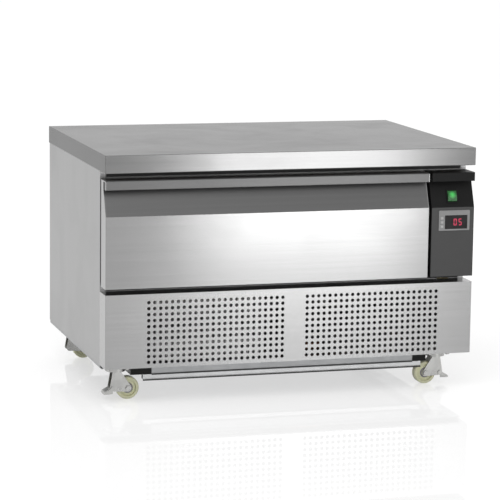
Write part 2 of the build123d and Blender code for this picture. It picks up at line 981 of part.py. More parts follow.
# Castor plates with their kingpins: fixed under the base plate
plate_bottom = castor_height - plate_thick
crown_thick = 7.0
crown_top = plate_bottom - sliding_gap
crown_bottom = crown_top - crown_thick
rivet_thick = 2.0
rivet_radius = 8.0
with BuildPart() as castor_plates:
    with Locations(*[(x, y, plate_bottom + plate_thick / 2) for x, y in castor_points]):
        Box(plate_size, plate_size, plate_thick)
    fillet(castor_plates.edges().filter_by(Axis.Z), plate_corner)
    with Locations(*[(x, y, castor_height) for x, y in bolt_points]):
        Cylinder(bolt_hole / 2, 4 * plate_thick, mode=Mode.SUBTRACT)
    with Locations(*[(x, y, plate_bottom) for x, y in castor_points]):
        Cylinder(
            kingpin_diameter / 2,
            crown_thick + 2 * sliding_gap + rivet_thick,
            align=(Align.CENTER, Align.CENTER, Align.MAX),
        )
    with Locations(*[(x, y, crown_bottom - sliding_gap) for x, y in castor_points]):
        Cylinder(rivet_radius, rivet_thick, align=(Align.CENTER, Align.CENTER, Align.MAX))
save(castor_plates.part, "castor_plates")

# Bolts of the castor plates, each with its nut above the base plate
head_height = 4.0
nut_height = 5.0
head_radius = 5.8
bolt_end = 2.0
with BuildPart() as castor_bolts:
    with BuildSketch(Plane.XY.offset(plate_bottom)):
        with Locations(*bolt_points):
            RegularPolygon(head_radius, 6)
    extrude(amount=-head_height)
    with BuildSketch(Plane.XY.offset(base_top)):
        with Locations(*bolt_points):
            RegularPolygon(head_radius, 6)
    extrude(amount=nut_height)
    with BuildSketch(Plane.XY.offset(plate_bottom)):
        with Locations(*bolt_points):
            Circle(bolt_diameter / 2)
    extrude(amount=plate_thick + base_plate_thick + nut_height + bolt_end)
save(castor_bolts.part, "castor_bolts")

# Forks, wheels and brake pedals
axle_z = wheel_diameter / 2
wheel_side_gap = 1.0
hub_width = wheel_width + 2 * wheel_side_gap
leg_inner = hub_width / 2 + sliding_gap
leg_outer = leg_inner + fork_sheet
leg_boss = 8.0
pedal_pivot = (-9.0, 27.0)
pedal_pin = 4.0
pedal_boss = 6.5
crown_radius = 23.0
axle_end = 4.0
axle_head = 6.5
arm_gap = 0.5
arm_sheet = 2.0
# The fork's legs narrow down from this patch under the crown to the axle.
leg_root_x = 0.0
leg_root_drop = 4.0
leg_root_width = 16.0
leg_root_height = 10.0
fork_room = 120.0
# Wheel
tread_round = 3.5
wheel_rim = 7.0
wheel_dish = 4.0
hub_wall = 4.5
# The pedal's arm, seen from the side with the swivel's axis at x = 0
pedal_arm = ((-9.0, 30.0), (-28.0, 20.0), (-30.0, 14.0), (-9.0, 15.0))
pedal_ear = 5.5
pedal_room_x = -2.0
pedal_room_width = 32.0
pedal_room_height = 40.0
for name, castor_x, castor_y, trail_side, braked in castors:
    side_plane = Plane((castor_x, castor_y, 0), x_dir=(trail_side, 0, 0), z_dir=(0, -trail_side, 0))
    with BuildPart() as fork:
        with BuildSketch(side_plane.offset(-leg_outer)):
            with Locations((castor_trail, axle_z)):
                Circle(leg_boss)
            with Locations(pedal_pivot):
                Circle(pedal_boss)
            with Locations((leg_root_x, crown_bottom - leg_root_drop)):
                Rectangle(leg_root_width, leg_root_height)
            make_hull()
        extrude(amount=2 * leg_outer)
        with BuildSketch(side_plane.offset(-leg_inner)):
            with Locations((leg_root_x, crown_bottom - fork_sheet - fork_room / 2)):
                Rectangle(fork_room, fork_room)
        extrude(amount=2 * leg_inner, mode=Mode.SUBTRACT)
        with Locations((castor_x, castor_y, crown_bottom - fork_sheet)):
            Cylinder(
                crown_radius,
                crown_thick + fork_sheet,
                align=(Align.CENTER, Align.CENTER, Align.MIN),
            )
        with Locations((castor_x, castor_y, crown_bottom)):
            Cylinder(kingpin_diameter / 2 + running_gap, 4 * crown_thick, mode=Mode.SUBTRACT)
        with Locations((castor_x, castor_y, crown_bottom - fork_sheet)):
            Cylinder(
                rivet_radius + sliding_gap,
                fork_sheet,
                align=(Align.CENTER, Align.CENTER, Align.MIN),
                mode=Mode.SUBTRACT,
            )
        if braked:
            with BuildSketch(side_plane.offset(-leg_outer)):
                with Locations(pedal_pivot):
                    Circle(pedal_pin / 2 + running_gap)
            extrude(amount=2 * leg_outer, mode=Mode.SUBTRACT)
        # The axle bolt lies in the two legs, with a head at one end and a nut at the other.
        with BuildSketch(side_plane.offset(-leg_outer - axle_end)):
            with Locations((castor_trail, axle_z)):
                Circle(axle_diameter / 2)
        extrude(amount=2 * (leg_outer + axle_end))
        for start in (-leg_outer - axle_end, leg_outer):
            with BuildSketch(side_plane.offset(start)):
                with Locations((castor_trail, axle_z)):
                    RegularPolygon(axle_head, 6)
            extrude(amount=axle_end)
    save(fork.part, f"castor_fork_{name}")
    with BuildPart() as wheel:
        with BuildSketch(side_plane):
            with Locations((castor_trail, axle_z)):
                Circle(wheel_diameter / 2)
        extrude(amount=wheel_width / 2, both=True)
        fillet(wheel.edges().filter_by(GeomType.CIRCLE), tread_round)
        for face_side in (-1, 1):
            with BuildSketch(side_plane.offset(face_side * wheel_width / 2)):
                with Locations((castor_trail, axle_z)):
                    Circle(wheel_diameter / 2 - wheel_rim)
            extrude(amount=-face_side * wheel_dish, mode=Mode.SUBTRACT)
        with BuildSketch(side_plane):
            with Locations((castor_trail, axle_z)):
                Circle(axle_diameter / 2 + hub_wall)
        extrude(amount=hub_width / 2, both=True)
        with BuildSketch(side_plane):
            with Locations((castor_trail, axle_z)):
                Circle(axle_diameter / 2 + running_gap)
        extrude(amount=hub_width, both=True, mode=Mode.SUBTRACT)
    save(wheel.part, f"castor_wheel_{name}")
    if braked:
        arm_inner = leg_outer + arm_gap
        arm_outer = arm_inner + arm_sheet
        with BuildPart() as pedal:
            with BuildSketch(side_plane.offset(-arm_outer)):
                with Locations(pedal_pivot):
                    Circle(pedal_ear)
                with BuildLine():
                    Polyline(*pedal_arm, close=True)
                make_face()
            extrude(amount=2 * arm_outer)
            with BuildSketch(side_plane.offset(-arm_inner)):
                with Locations((pedal_room_x, pedal_pivot[1])):
                    Rectangle(pedal_room_width, pedal_room_height)
            extrude(amount=2 * arm_inner, mode=Mode.SUBTRACT)
            with BuildSketch(side_plane.offset(-arm_outer)):
                with Locations(pedal_pivot):
                    Circle(pedal_pin / 2)
            extrude(amount=2 * arm_outer)
        save(pedal.part, f"brake_pedal_{name}")


def axial_fan(plane, diameter, blade_depth, hub_diameter, shaft_length, blade_count):
    """Make fan blades on a hub, with the shaft that turns in the motor."""
    with BuildPart() as fan:
        with Locations(plane):
            with PolarLocations((hub_diameter + diameter) / 4 - blade_root, blade_count):
                Box(
                    (diameter - hub_diameter) / 2 + 2 * blade_root,
                    blade_depth * blade_chord,
                    blade_thick,
                    rotation=(blade_pitch, 0, 0),
                )
        with Locations(plane):
            Cylinder(diameter / 2, blade_depth, mode=Mode.INTERSECT)
            Cylinder(hub_diameter / 2, blade_depth)
            Cylinder(
                shaft_diameter / 2,
                blade_depth / 2 + shaft_length,
                align=(Align.CENTER, Align.CENTER, Align.MIN),
            )
    return fan.part


def fan_motor(plane, face_gap, body_radius, body_depth, strut_radius, strut_reach):
    """Make a motor behind the blades, on four struts that reach forward to a plate."""
    with BuildPart() as motor:
        with Locations(plane.offset(face_gap)):
            Cylinder(body_radius, body_depth, align=(Align.CENTER, Align.CENTER, Align.MIN))
            Cylinder(
                body_radius * motor_boss_share,
                body_depth + motor_boss,
                align=(Align.CENTER, Align.CENTER, Align.MIN),
            )
            Cylinder(
                shaft_diameter / 2 + running_gap,
                2 * body_depth,
                mode=Mode.SUBTRACT,
            )
        with Locations(plane.offset(face_gap + strut_set)):
            with PolarLocations((body_radius + strut_radius) / 2, 4, start_angle=45):
                Box(
                    strut_radius - body_radius + 2 * strut_width,
                    strut_width,
                    strut_thick,
                    align=(Align.CENTER, Align.CENTER, Align.MIN),
                )
            with PolarLocations(strut_radius, 4, start_angle=45):
                Cylinder(
                    strut_width / 2,
                    strut_reach,
                    align=(Align.CENTER, Align.CENTER, Align.MAX),
                )
    return motor.part


def finned_block(x0, x1, y0, y1, z0, z1, along, tube_rows, plate_top):
    """Make a finned heat exchanger: fins across one axis, tubes and end plates."""
    span = (x0, x1) if along == "x" else (y0, y1)
    fin_count = int((span[1] - span[0] - 2 * fin_margin) // fin_pitch)
    mid = (span[0] + span[1]) / 2
    with BuildPart() as exchanger:
        for i in range(fin_count):
            at = mid + row_offset(i, fin_count, fin_pitch)
            if along == "x":
                block(at - fin_thick / 2, at + fin_thick / 2, y0, y1, z0, z1)
            else:
                block(x0, x1, at - fin_thick / 2, at + fin_thick / 2, z0, z1)
        for at in (span[0], span[1] - end_thick):
            if along == "x":
                block(at, at + end_thick, y0, y1, z0 - end_foot, plate_top)
            else:
                block(x0, x1, at, at + end_thick, z0 - end_foot, plate_top)
        tube_pitch = (z1 - z0) / tube_rows
        for row in range(tube_rows):
            z = z0 + (row + 0.5) * tube_pitch
            if along == "x":
                for y in (y0 + (y1 - y0) * tube_share, y1 - (y1 - y0) * tube_share):
                    with Locations((mid, y, z)):
                        Cylinder(tube_radius, span[1] - span[0] + 2 * tube_proud, rotation=(0, 90, 0))
            else:
                for x in (x0 + (x1 - x0) * tube_share, x1 - (x1 - x0) * tube_share):
                    with Locations((x, mid, z)):
                        Cylinder(tube_radius, span[1] - span[0] + 2 * tube_proud, rotation=(90, 0, 0))
    return exchanger.part


# Fans and their motors
shaft_diameter = 5.0
blade_count = 5
blade_root = 2.0
blade_chord = 1.6
blade_thick = 1.6
blade_pitch = 32.0
strut_width = 6.0
strut_thick = 4.0
strut_set = 4.0
motor_boss = 8.0
motor_boss_share = 0.7

# Heat exchangers, whose tubes lie at this share of their depth from each face
fin_thick = 0.8
fin_margin = 3.0
end_thick = 1.5
end_foot = 4.0
tube_radius = 4.5
tube_proud = 2.0
tube_share = 0.27
condenser_rows = 6
coil_rows = 5

# Condenser behind the left holes, with its shroud, fan and motor
condenser_left = condenser_x - condenser_width / 2
condenser_right = condenser_x + condenser_width / 2
condenser_front = cabinet_front + condenser_setback
condenser_back = condenser_front + condenser_depth
condenser_bottom = base_top + end_foot
condenser_top = condenser_bottom + condenser_height
condenser_z = (condenser_bottom + condenser_top) / 2
condenser = finned_block(
    condenser_left,
    condenser_right,
    condenser_front,
    condenser_back,
    condenser_bottom,
    condenser_top,
    "x",
    condenser_rows,
    condenser_top + end_foot,
)
save(condenser, "condenser")

shroud_depth = 30.0
shroud_back = condenser_back + shroud_depth
fan_clearance = 3.0
with BuildPart() as condenser_shroud:
    block(condenser_left, condenser_right, condenser_back, shroud_back, base_top, condenser_top + end_foot)
    block(
        condenser_left + sheet,
        condenser_right - sheet,
        condenser_back,
        shroud_back - sheet,
        base_top + sheet,
        condenser_top + end_foot - sheet,
        Mode.SUBTRACT,
    )
    with Locations((condenser_x, shroud_back, condenser_z)):
        Cylinder(
            condenser_fan_diameter / 2 + fan_clearance,
            4 * sheet,
            rotation=(90, 0, 0),
            mode=Mode.SUBTRACT,
        )
save(condenser_shroud.part, "condenser_shroud")

fan_depth = 18.0
fan_set = 2.0
motor_gap = 14.0
condenser_hub = 38.0
condenser_shaft = 28.0
condenser_motor_radius = 31.0
condenser_motor_length = 40.0
condenser_fan_plane = Plane(
    (condenser_x, shroud_back - fan_depth / 2 - fan_set, condenser_z), x_dir=(1, 0, 0), z_dir=(0, 1, 0)
)
condenser_blades = axial_fan(
    condenser_fan_plane, condenser_fan_diameter, fan_depth, condenser_hub, condenser_shaft, blade_count
)
save(condenser_blades, "condenser_fan")
condenser_motor = fan_motor(
    condenser_fan_plane,
    fan_depth / 2 + motor_gap,
    condenser_motor_radius,
    condenser_motor_length,
    condenser_fan_diameter / 2 + fan_clearance + strut_width,
    motor_gap + fan_set,
)
save(condenser_motor, "condenser_fan_motor")

# Compressor on four rubber mounts
shell_foot_length = 190.0
shell_foot_width = 110.0
foot_thick = 3.0
foot_z = base_top + mount_height
shell_bottom = foot_z + foot_thick
shell_top = shell_bottom + compressor_height
shell_radius = compressor_diameter / 2
foot_corner = 8.0
mount_spacing = (165.0, 82.0)
mount_radius = 10.0
mount_pin_radius = 3.9
mount_pin_end = 3.0
weld_proud = 2.0
weld_height = 5.0
stub_radius = pipe_diameter / 2
stub_end = 4.0
stub_offset = 38.0
stub_top = shell_top + stub_end
suction_stub = (compressor_x + stub_offset, compressor_y)
discharge_stub = (compressor_x - stub_offset, compressor_y)
# The shell's section, in shares of its radius and of its height
shell_floor_edge = (0.72, 0.0)
shell_low_bulge = (0.97, 0.16)
shell_low_side = (1.0, 0.36)
shell_high_side = (1.0, 0.62)
shell_high_bulge = (0.78, 0.92)
weld_level = 0.5
stub_level = 0.7


def shell_point(shares):
    return (compressor_x + shell_radius * shares[0], shell_bottom + compressor_height * shares[1])


with BuildPart() as compressor:
    with BuildSketch(Plane.XZ.offset(-compressor_y)):
        with BuildLine():
            l1 = Line((compressor_x, shell_bottom), shell_point(shell_floor_edge))
            l2 = Spline(
                l1 @ 1,
                shell_point(shell_low_bulge),
                shell_point(shell_low_side),
                tangents=((1, 0), (0, 1)),
            )
            l3 = Line(l2 @ 1, shell_point(shell_high_side))
            l4 = Spline(
                l3 @ 1,
                shell_point(shell_high_bulge),
                (compressor_x, shell_top),
                tangents=((0, 1), (-1, 0)),
            )
            Line(l4 @ 1, l1 @ 0)
        make_face()
    revolve(axis=Axis((compressor_x, compressor_y, 0), (0, 0, 1)))
    # Weld seam round the shell
    with Locations((compressor_x, compressor_y, shell_bottom + compressor_height * weld_level)):
        Cylinder(shell_radius + weld_proud, weld_height)
    block(
        compressor_x - shell_foot_length / 2,
        compressor_x + shell_foot_length / 2,
        compressor_y - shell_foot_width / 2,
        compressor_y + shell_foot_width / 2,
        foot_z,
        shell_bottom,
    )
    fillet(compressor.edges().filter_by(Axis.Z).group_by(SortBy.LENGTH)[0], foot_corner)
    with Locations((compressor_x, compressor_y, foot_z)):
        with GridLocations(mount_spacing[0], mount_spacing[1], 2, 2):
            Cylinder(mount_pin_radius + running_gap, 4 * foot_thick, mode=Mode.SUBTRACT)
    for x, y in (suction_stub, discharge_stub):
        with Locations((x, y, shell_bottom + compressor_height * stub_level)):
            Cylinder(
                stub_radius,
                stub_top - shell_bottom - compressor_height * stub_level,
                align=(Align.CENTER, Align.CENTER, Align.MIN),
            )
save(compressor.part, "compressor")

with BuildPart() as compressor_mounts:
    with Locations((compressor_x, compressor_y, base_top)):
        with GridLocations(mount_spacing[0], mount_spacing[1], 2, 2):
            Cylinder(mount_radius, mount_height, align=(Align.CENTER, Align.CENTER, Align.MIN))
            Cylinder(
                mount_pin_radius,
                mount_height + foot_thick + mount_pin_end,
                align=(Align.CENTER, Align.CENTER, Align.MIN),
            )
save(compressor_mounts.part, "compressor_mounts")

# Starting relay's cover, cut to the round shell that it clips to
relay_width = 56.0
relay_height = 46.0
relay_depth = 24.0
relay_drop = 6.0
relay_wrap = 14.0
relay_corner = 4.0
relay_z = shell_bottom + compressor_height * weld_level - relay_height / 2 - relay_drop
with BuildPart() as relay_cover:
    block(
        compressor_x - relay_width / 2,
        compressor_x + relay_width / 2,
        compressor_y - shell_radius - relay_depth,
        compressor_y - shell_radius + relay_wrap,
        relay_z - relay_height / 2,
        relay_z + relay_height / 2,
    )
    fillet(relay_cover.edges().filter_by(Axis.Y), relay_corner)
    with Locations((compressor_x, compressor_y, relay_z)):
        Cylinder(shell_radius, relay_height * 2, mode=Mode.SUBTRACT)
save(relay_cover.part, "relay_cover")

# Evaporator beside the tub, behind a cover with the fan's mouth
coil_shift = 6.0
coil_setback = 50.0
coil_drop = 20.0
coil_x = (mouth_right + cold_right) / 2 + coil_shift
coil_left = coil_x - coil_depth / 2
coil_right = coil_x + coil_depth / 2
coil_back = cold_back - coil_setback
coil_front = coil_back - coil_length
coil_bottom = cold_roof - coil_height - coil_drop
cover_x = mouth_right + sheet
fan_y = (pillar_back + coil_front) / 2
slot_count = 6
slot_pitch = 18.0
slot_height = 8.0
slot_lift = 10.0
with BuildPart() as evaporator_cover:
    block(mouth_right, cover_x, pillar_back + liner_sheet, cold_back, cold_floor, cold_roof)
    with Locations((mouth_right, fan_y, cold_mid_z)):
        Cylinder(
            evaporator_fan_diameter / 2 + fan_clearance,
            4 * sheet,
            rotation=(0, 90, 0),
            mode=Mode.SUBTRACT,
        )
    with Locations((mouth_right, coil_back - coil_length / 3, cold_mid_z + slot_lift)):
        with Locations(*[(0, 0, row_offset(i, slot_count, slot_pitch)) for i in range(slot_count)]):
            Box(4 * sheet, coil_length / 2, slot_height, mode=Mode.SUBTRACT)
save(evaporator_cover.part, "evaporator_cover")

evaporator_coil = finned_block(
    coil_left,
    coil_right,
    coil_front,
    coil_back,
    coil_bottom,
    coil_bottom + coil_height,
    "y",
    coil_rows,
    cold_roof,
)
save(evaporator_coil, "evaporator_coil")

evaporator_hub = 34.0
evaporator_shaft = 24.0
evaporator_motor_radius = 24.0
evaporator_motor_length = 30.0
evaporator_strut = 38.0
evaporator_fan_plane = Plane(
    (cover_x + fan_depth / 2 + fan_set, fan_y, cold_mid_z), x_dir=(0, 1, 0), z_dir=(1, 0, 0)
)
evaporator_blades = axial_fan(
    evaporator_fan_plane, evaporator_fan_diameter, fan_depth, evaporator_hub, evaporator_shaft, blade_count
)
save(evaporator_blades, "evaporator_fan")
evaporator_motor = fan_motor(
    evaporator_fan_plane,
    fan_depth / 2 + motor_gap,
    evaporator_motor_radius,
    evaporator_motor_length,
    evaporator_fan_diameter / 2 + fan_clearance + strut_width,
    evaporator_strut,
)
save(evaporator_motor, "evaporator_fan_motor")

# Drain tube from the cold space through the foam and the base plate to the drip tray
drain_end_gap = 8.0
drain_run = 60.0
drain_rise = 50.0
drain_bend = 25.0
drain_bottom = castor_height - tray_drop + drain_end_gap
with BuildPart() as drain_tube:
    with BuildLine():
        FilletPolyline(
            (drain_x, drain_y, cold_floor),
            (drain_x, drain_y, machine_top - drain_run),
            (drain_low_x, drain_y, base_top + drain_rise),
            (drain_low_x, drain_y, drain_bottom),
            radius=drain_bend,
        )
    with BuildSketch(Plane((drain_x, drain_y, cold_floor), x_dir=(1, 0, 0), z_dir=(0, 0, -1))):
        Circle(drain_diameter / 2)
        Circle(drain_diameter / 2 - drain_wall, mode=Mode.SUBTRACT)
    sweep()
save(drain_tube.part, "drain_tube")

# Filter drier in the liquid line, in front of the compressor
row_pitch = condenser_height / condenser_rows
low_row_z = condenser_bottom + row_pitch / 2
high_row_z = condenser_top - row_pitch / 2
row_y = condenser_back - condenser_depth * tube_share
tube_end = condenser_right + tube_proud
drier_offset = 70.0
drier_start = condenser_right + drier_offset
drier_length = 90.0
drier_radius = 9.5
drier_round = 4.0
with BuildPart() as filter_drier:
    with BuildSketch(Plane.YZ.offset(drier_start)):
        with Locations((row_y, low_row_z)):
            Circle(drier_radius)
    extrude(amount=drier_length)
    fillet(filter_drier.edges().filter_by(GeomType.CIRCLE), drier_round)
save(filter_drier.part, "filter_drier")

# Pipes between compressor, condenser, drier and evaporator
pipe_rise = 12.0
pipe_turn = 12.0
pipe_spread = 5.0
pipe_level = stub_top + pipe_rise
suction_y = pipe_slot_y + pipe_spread
liquid_y = pipe_slot_y - pipe_spread
coil_row_z = coil_bottom + coil_height / (2 * coil_rows)
coil_end = coil_back + tube_proud
suction_x = coil_right - coil_depth * tube_share
liquid_x = coil_left + coil_depth * tube_share


def pipe_path(points, diameter):
    """Sweep a round pipe along straight runs joined by tangent bends."""
    start = Vector(*points[0])
    along = Vector(*points[1]) - start
    with BuildPart() as pipe:
        with BuildLine():
            FilletPolyline(*points, radius=bend_radius)
        with BuildSketch(Plane(start, z_dir=along)):
            Circle(diameter / 2)
        sweep()
    return pipe.part


discharge_pipe = pipe_path(
    (
        (*discharge_stub, stub_top),
        (*discharge_stub, pipe_level),
        (discharge_stub[0], row_y, pipe_level),
        (tube_end + pipe_turn, row_y, pipe_level),
        (tube_end + pipe_turn, row_y, high_row_z),
        (tube_end, row_y, high_row_z),
    ),
    pipe_diameter,
)
suction_pipe = pipe_path(
    (
        (suction_x, coil_end, coil_row_z),
        (suction_x, suction_y, coil_row_z),
        (suction_x, suction_y, pipe_level),
        (suction_stub[0], suction_y, pipe_level),
        (*suction_stub, pipe_level),
        (*suction_stub, stub_top),
    ),
    pipe_diameter,
)
liquid_pipe = pipe_path(
    (
        (drier_start + drier_length, row_y, low_row_z),
        (liquid_x, row_y, low_row_z),
        (liquid_x, liquid_y, low_row_z),
        (liquid_x, liquid_y, coil_row_z),
        (liquid_x, coil_end, coil_row_z),
    ),
    liquid_diameter,
)
with BuildPart() as refrigerant_pipes:
    add(discharge_pipe)
    add(suction_pipe)
    add(liquid_pipe)
    with BuildSketch(Plane.YZ.offset(tube_end)):
        with Locations((row_y, low_row_z)):
            Circle(liquid_diameter / 2)
    extrude(amount=drier_start - tube_end)
save(refrigerant_pipes.part, "refrigerant_pipes")

# Mains inlet in the back panel: a flanged socket with three pins
flange_thick = 2.0
inlet_depth = 24.0
inlet_fit = 0.2
inlet_wall = 2.0
inlet_floor = 4.0
flange_side = 10.0
flange_end = 3.0
flange_corner = 3.0
pin_pitch = 7.0
pin_stagger = 2.0
pin_size = (2.0, 16.0, 4.0)
pin_depth = 12.0
with BuildPart() as power_inlet:
    block(
        inlet_x - inlet_width / 2 - flange_side,
        inlet_x + inlet_width / 2 + flange_side,
        cabinet_back,
        cabinet_back + flange_thick,
        inlet_z - inlet_height / 2 - flange_end,
        inlet_z + inlet_height / 2 + flange_end,
    )
    fillet(power_inlet.edges().filter_by(Axis.Y), flange_corner)
    block(
        inlet_x - inlet_width / 2 + inlet_fit,
        inlet_x + inlet_width / 2 - inlet_fit,
        cabinet_back - inlet_depth,
        cabinet_back,
        inlet_z - inlet_height / 2 + inlet_fit,
        inlet_z + inlet_height / 2 - inlet_fit,
    )
    block(
        inlet_x - inlet_width / 2 + inlet_wall,
        inlet_x + inlet_width / 2 - inlet_wall,
        cabinet_back - inlet_depth + inlet_floor,
        cabinet_back + flange_thick,
        inlet_z - inlet_height / 2 + inlet_wall,
        inlet_z + inlet_height / 2 - inlet_wall,
        Mode.SUBTRACT,
    )
    with Locations(
        (inlet_x - pin_pitch, cabinet_back - pin_depth, inlet_z - pin_stagger),
        (inlet_x, cabinet_back - pin_depth, inlet_z + pin_stagger),
        (inlet_x + pin_pitch, cabinet_back - pin_depth, inlet_z - pin_stagger),
    ):
        Box(*pin_size)
save(power_inlet.part, "power_inlet")
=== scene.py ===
import math

import bpy
import numpy as np
from mathutils import Matrix, Vector


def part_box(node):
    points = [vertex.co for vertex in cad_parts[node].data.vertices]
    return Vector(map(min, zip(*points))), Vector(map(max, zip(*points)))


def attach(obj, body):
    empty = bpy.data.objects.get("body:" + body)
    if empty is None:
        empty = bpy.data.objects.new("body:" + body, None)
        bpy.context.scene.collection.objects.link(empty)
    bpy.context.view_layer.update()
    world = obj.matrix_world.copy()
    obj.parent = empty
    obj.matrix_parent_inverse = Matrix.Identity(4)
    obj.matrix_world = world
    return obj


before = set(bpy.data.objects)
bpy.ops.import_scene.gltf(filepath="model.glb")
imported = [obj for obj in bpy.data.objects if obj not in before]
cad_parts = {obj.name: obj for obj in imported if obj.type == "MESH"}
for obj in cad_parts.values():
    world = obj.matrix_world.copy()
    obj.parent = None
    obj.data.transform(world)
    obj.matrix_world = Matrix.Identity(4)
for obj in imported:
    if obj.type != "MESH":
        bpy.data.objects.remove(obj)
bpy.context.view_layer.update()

print("stage: frame loaded,", len(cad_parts), "nodes")

# camera, solved from the photo
cameraView = {
    "place": (-1.6145, -5.3662, 1.2115),
    "yaw": 16.631,
    "pitch": -9.229,
    "roll": 0.760,
    "focalPixels": 2306.4,
    "framePixels": 500,
    "sensor": 36.0,
}


def makeCamera(view):
    yaw, pitch, roll = (math.radians(view[k]) for k in ("yaw", "pitch", "roll"))
    ahead = Vector((math.sin(yaw) * math.cos(pitch), math.cos(yaw) * math.cos(pitch), math.sin(pitch)))
    level = Vector((math.cos(yaw), -math.sin(yaw), 0))
    lift = level.cross(ahead)
    right = level * math.cos(roll) + lift * math.sin(roll)
    up = lift * math.cos(roll) - level * math.sin(roll)
    data = bpy.data.cameras.new("photoCamera")
    data.sensor_width = view["sensor"]
    data.lens = view["focalPixels"] / view["framePixels"] * view["sensor"]
    data.clip_end = 100
    cam = bpy.data.objects.new("photoCamera", data)
    turn = Matrix((right, up, -ahead)).transposed().to_4x4()
    cam.matrix_world = Matrix.Translation(view["place"]) @ turn
    bpy.context.scene.collection.objects.link(cam)
    bpy.context.scene.camera = cam


makeCamera(cameraView)

# node helpers
def put(tree, kind, inputs=None, **settings):
    # one node, its settings, and its inputs as numbers or as sockets to link
    node = tree.nodes.new(kind)
    for key, value in settings.items():
        setattr(node, key, value)
    for key, value in (inputs or {}).items():
        if isinstance(value, bpy.types.NodeSocket):
            tree.links.new(value, node.inputs[key])
        else:
            node.inputs[key].default_value = value
    return node


def startGroup(name, inputs, outputs):
    # an empty shader group with named sockets, and its two end nodes
    tree = bpy.data.node_groups.new(name, "ShaderNodeTree")
    for label, kind, value in inputs:
        socket = tree.interface.new_socket(label, in_out="INPUT", socket_type=kind)
        socket.default_value = value
    for label, kind in outputs:
        tree.interface.new_socket(label, in_out="OUTPUT", socket_type=kind)
    return tree, tree.nodes.new("NodeGroupInput"), tree.nodes.new("NodeGroupOutput")


def calc(tree, operation, a, b=0.0):
    return put(tree, "ShaderNodeMath", {0: a, 1: b}, operation=operation).outputs[0]


def spread(tree, value, low, high, lowTo=0.0, highTo=1.0):
    # a value between low and high, taken to the range lowTo..highTo
    inputs = {"Value": value, "From Min": low, "From Max": high, "To Min": lowTo, "To Max": highTo}
    return put(tree, "ShaderNodeMapRange", inputs).outputs["Result"]


def blendColour(tree, mask, a, b):
    node = put(tree, "ShaderNodeMix", {"Factor": mask}, data_type="RGBA")
    for slot, value in ((6, a), (7, b)):
        if isinstance(value, bpy.types.NodeSocket):
            tree.links.new(value, node.inputs[slot])
        else:
            node.inputs[slot].default_value = (*value, 1.0)
    return node.outputs[2]


def useGroup(tree, group, **values):
    node = tree.nodes.new("ShaderNodeGroup")
    node.node_tree = group
    for key, value in values.items():
        node.inputs[key].default_value = value
    return node


def objectPlace(tree):
    return put(tree, "ShaderNodeTexCoord").outputs["Object"]


def cloudNoise(tree, place, scale, detail, roughness=0.5, distortion=0.0):
    inputs = {
        "Vector": place,
        "Scale": scale,
        "Detail": detail,
        "Roughness": roughness,
        "Distortion": distortion,
    }
    return put(tree, "ShaderNodeTexNoise", inputs).outputs["Fac"]


def cellNoise(tree, place, scale, output, **settings):
    node = put(tree, "ShaderNodeTexVoronoi", {"Vector": place, "Scale": scale}, **settings)
    return node.outputs[output]


def scaleBy(tree, vector, factor):
    return put(tree, "ShaderNodeVectorMath", {0: vector, 1: factor}, operation="MULTIPLY").outputs[0]


# shared effects
def makeBrushLines():
    # fine parallel lines: noise stretched along one axis, in two lengths
    tree, start, end = startGroup(
        "brushLines",
        [("Stretch", "NodeSocketVector", (8, 800, 800))],
        [("Lines", "NodeSocketFloat"), ("Tone", "NodeSocketFloat")],
    )
    longer = (0.31, 0.17, 0.17)
    fineShare, wideShare = 0.6, 0.4
    finePlace = scaleBy(tree, objectPlace(tree), start.outputs["Stretch"])
    fine = cloudNoise(tree, finePlace, scale=1.0, detail=3.0, roughness=0.6)
    wide = cloudNoise(tree, scaleBy(tree, finePlace, longer), scale=1.0, detail=2.0)
    both = calc(tree, "ADD", calc(tree, "MULTIPLY", fine, fineShare), calc(tree, "MULTIPLY", wide, wideShare))
    tree.links.new(both, end.inputs["Lines"])
    tree.links.new(wide, end.inputs["Tone"])
    return tree


def makeSmudges():
    # soft patches where the sheet has been wiped and handled
    tree, start, end = startGroup(
        "smudges", [("Scale", "NodeSocketFloat", 7.0)], [("Patches", "NodeSocketFloat")]
    )
    scale = start.outputs["Scale"]
    cloud = cloudNoise(tree, objectPlace(tree), scale, detail=5.0, roughness=0.55, distortion=0.6)
    tree.links.new(spread(tree, cloud, low=0.42, high=0.68), end.inputs["Patches"])
    return tree


def makeMouldGrain():
    # the fine pebble of a moulded surface
    tree, start, end = startGroup(
        "mouldGrain",
        [("Scale", "NodeSocketFloat", 900.0)],
        [("Height", "NodeSocketFloat"), ("Tone", "NodeSocketFloat")],
    )
    place = objectPlace(tree)
    pebble = cellNoise(tree, place, start.outputs["Scale"], "Distance", feature="SMOOTH_F1")
    tree.links.new(pebble, end.inputs["Height"])
    tree.links.new(cloudNoise(tree, place, scale=22.0, detail=4.0), end.inputs["Tone"])
    return tree


def makeSettledDust():
    # dust on what faces up, broken up by noise
    tree, start, end = startGroup(
        "settledDust", [("Amount", "NodeSocketFloat", 0.3)], [("Mask", "NodeSocketFloat")]
    )
    normal = put(tree, "ShaderNodeNewGeometry").outputs["Normal"]
    facing = put(tree, "ShaderNodeSeparateXYZ", {0: normal}).outputs["Z"]
    cloud = cloudNoise(tree, objectPlace(tree), scale=60.0, detail=5.0)
    upward = spread(tree, facing, low=0.2, high=0.95)
    broken = spread(tree, cloud, low=0.35, high=0.7, lowTo=0.3)
    mask = calc(tree, "MULTIPLY", calc(tree, "MULTIPLY", upward, broken), start.outputs["Amount"])
    tree.links.new(mask, end.inputs["Mask"])
    return tree


brushLines = makeBrushLines()
smudges = makeSmudges()
mouldGrain = makeMouldGrain()
settledDust = makeSettledDust()
print("stage: shared effects made")

# finishes
noiseBand = {"low": 0.3, "high": 0.7}
dustTone = {"plastic": (0.42, 0.40, 0.37), "zinc": (0.35, 0.33, 0.30), "paint": (0.30, 0.28, 0.25)}


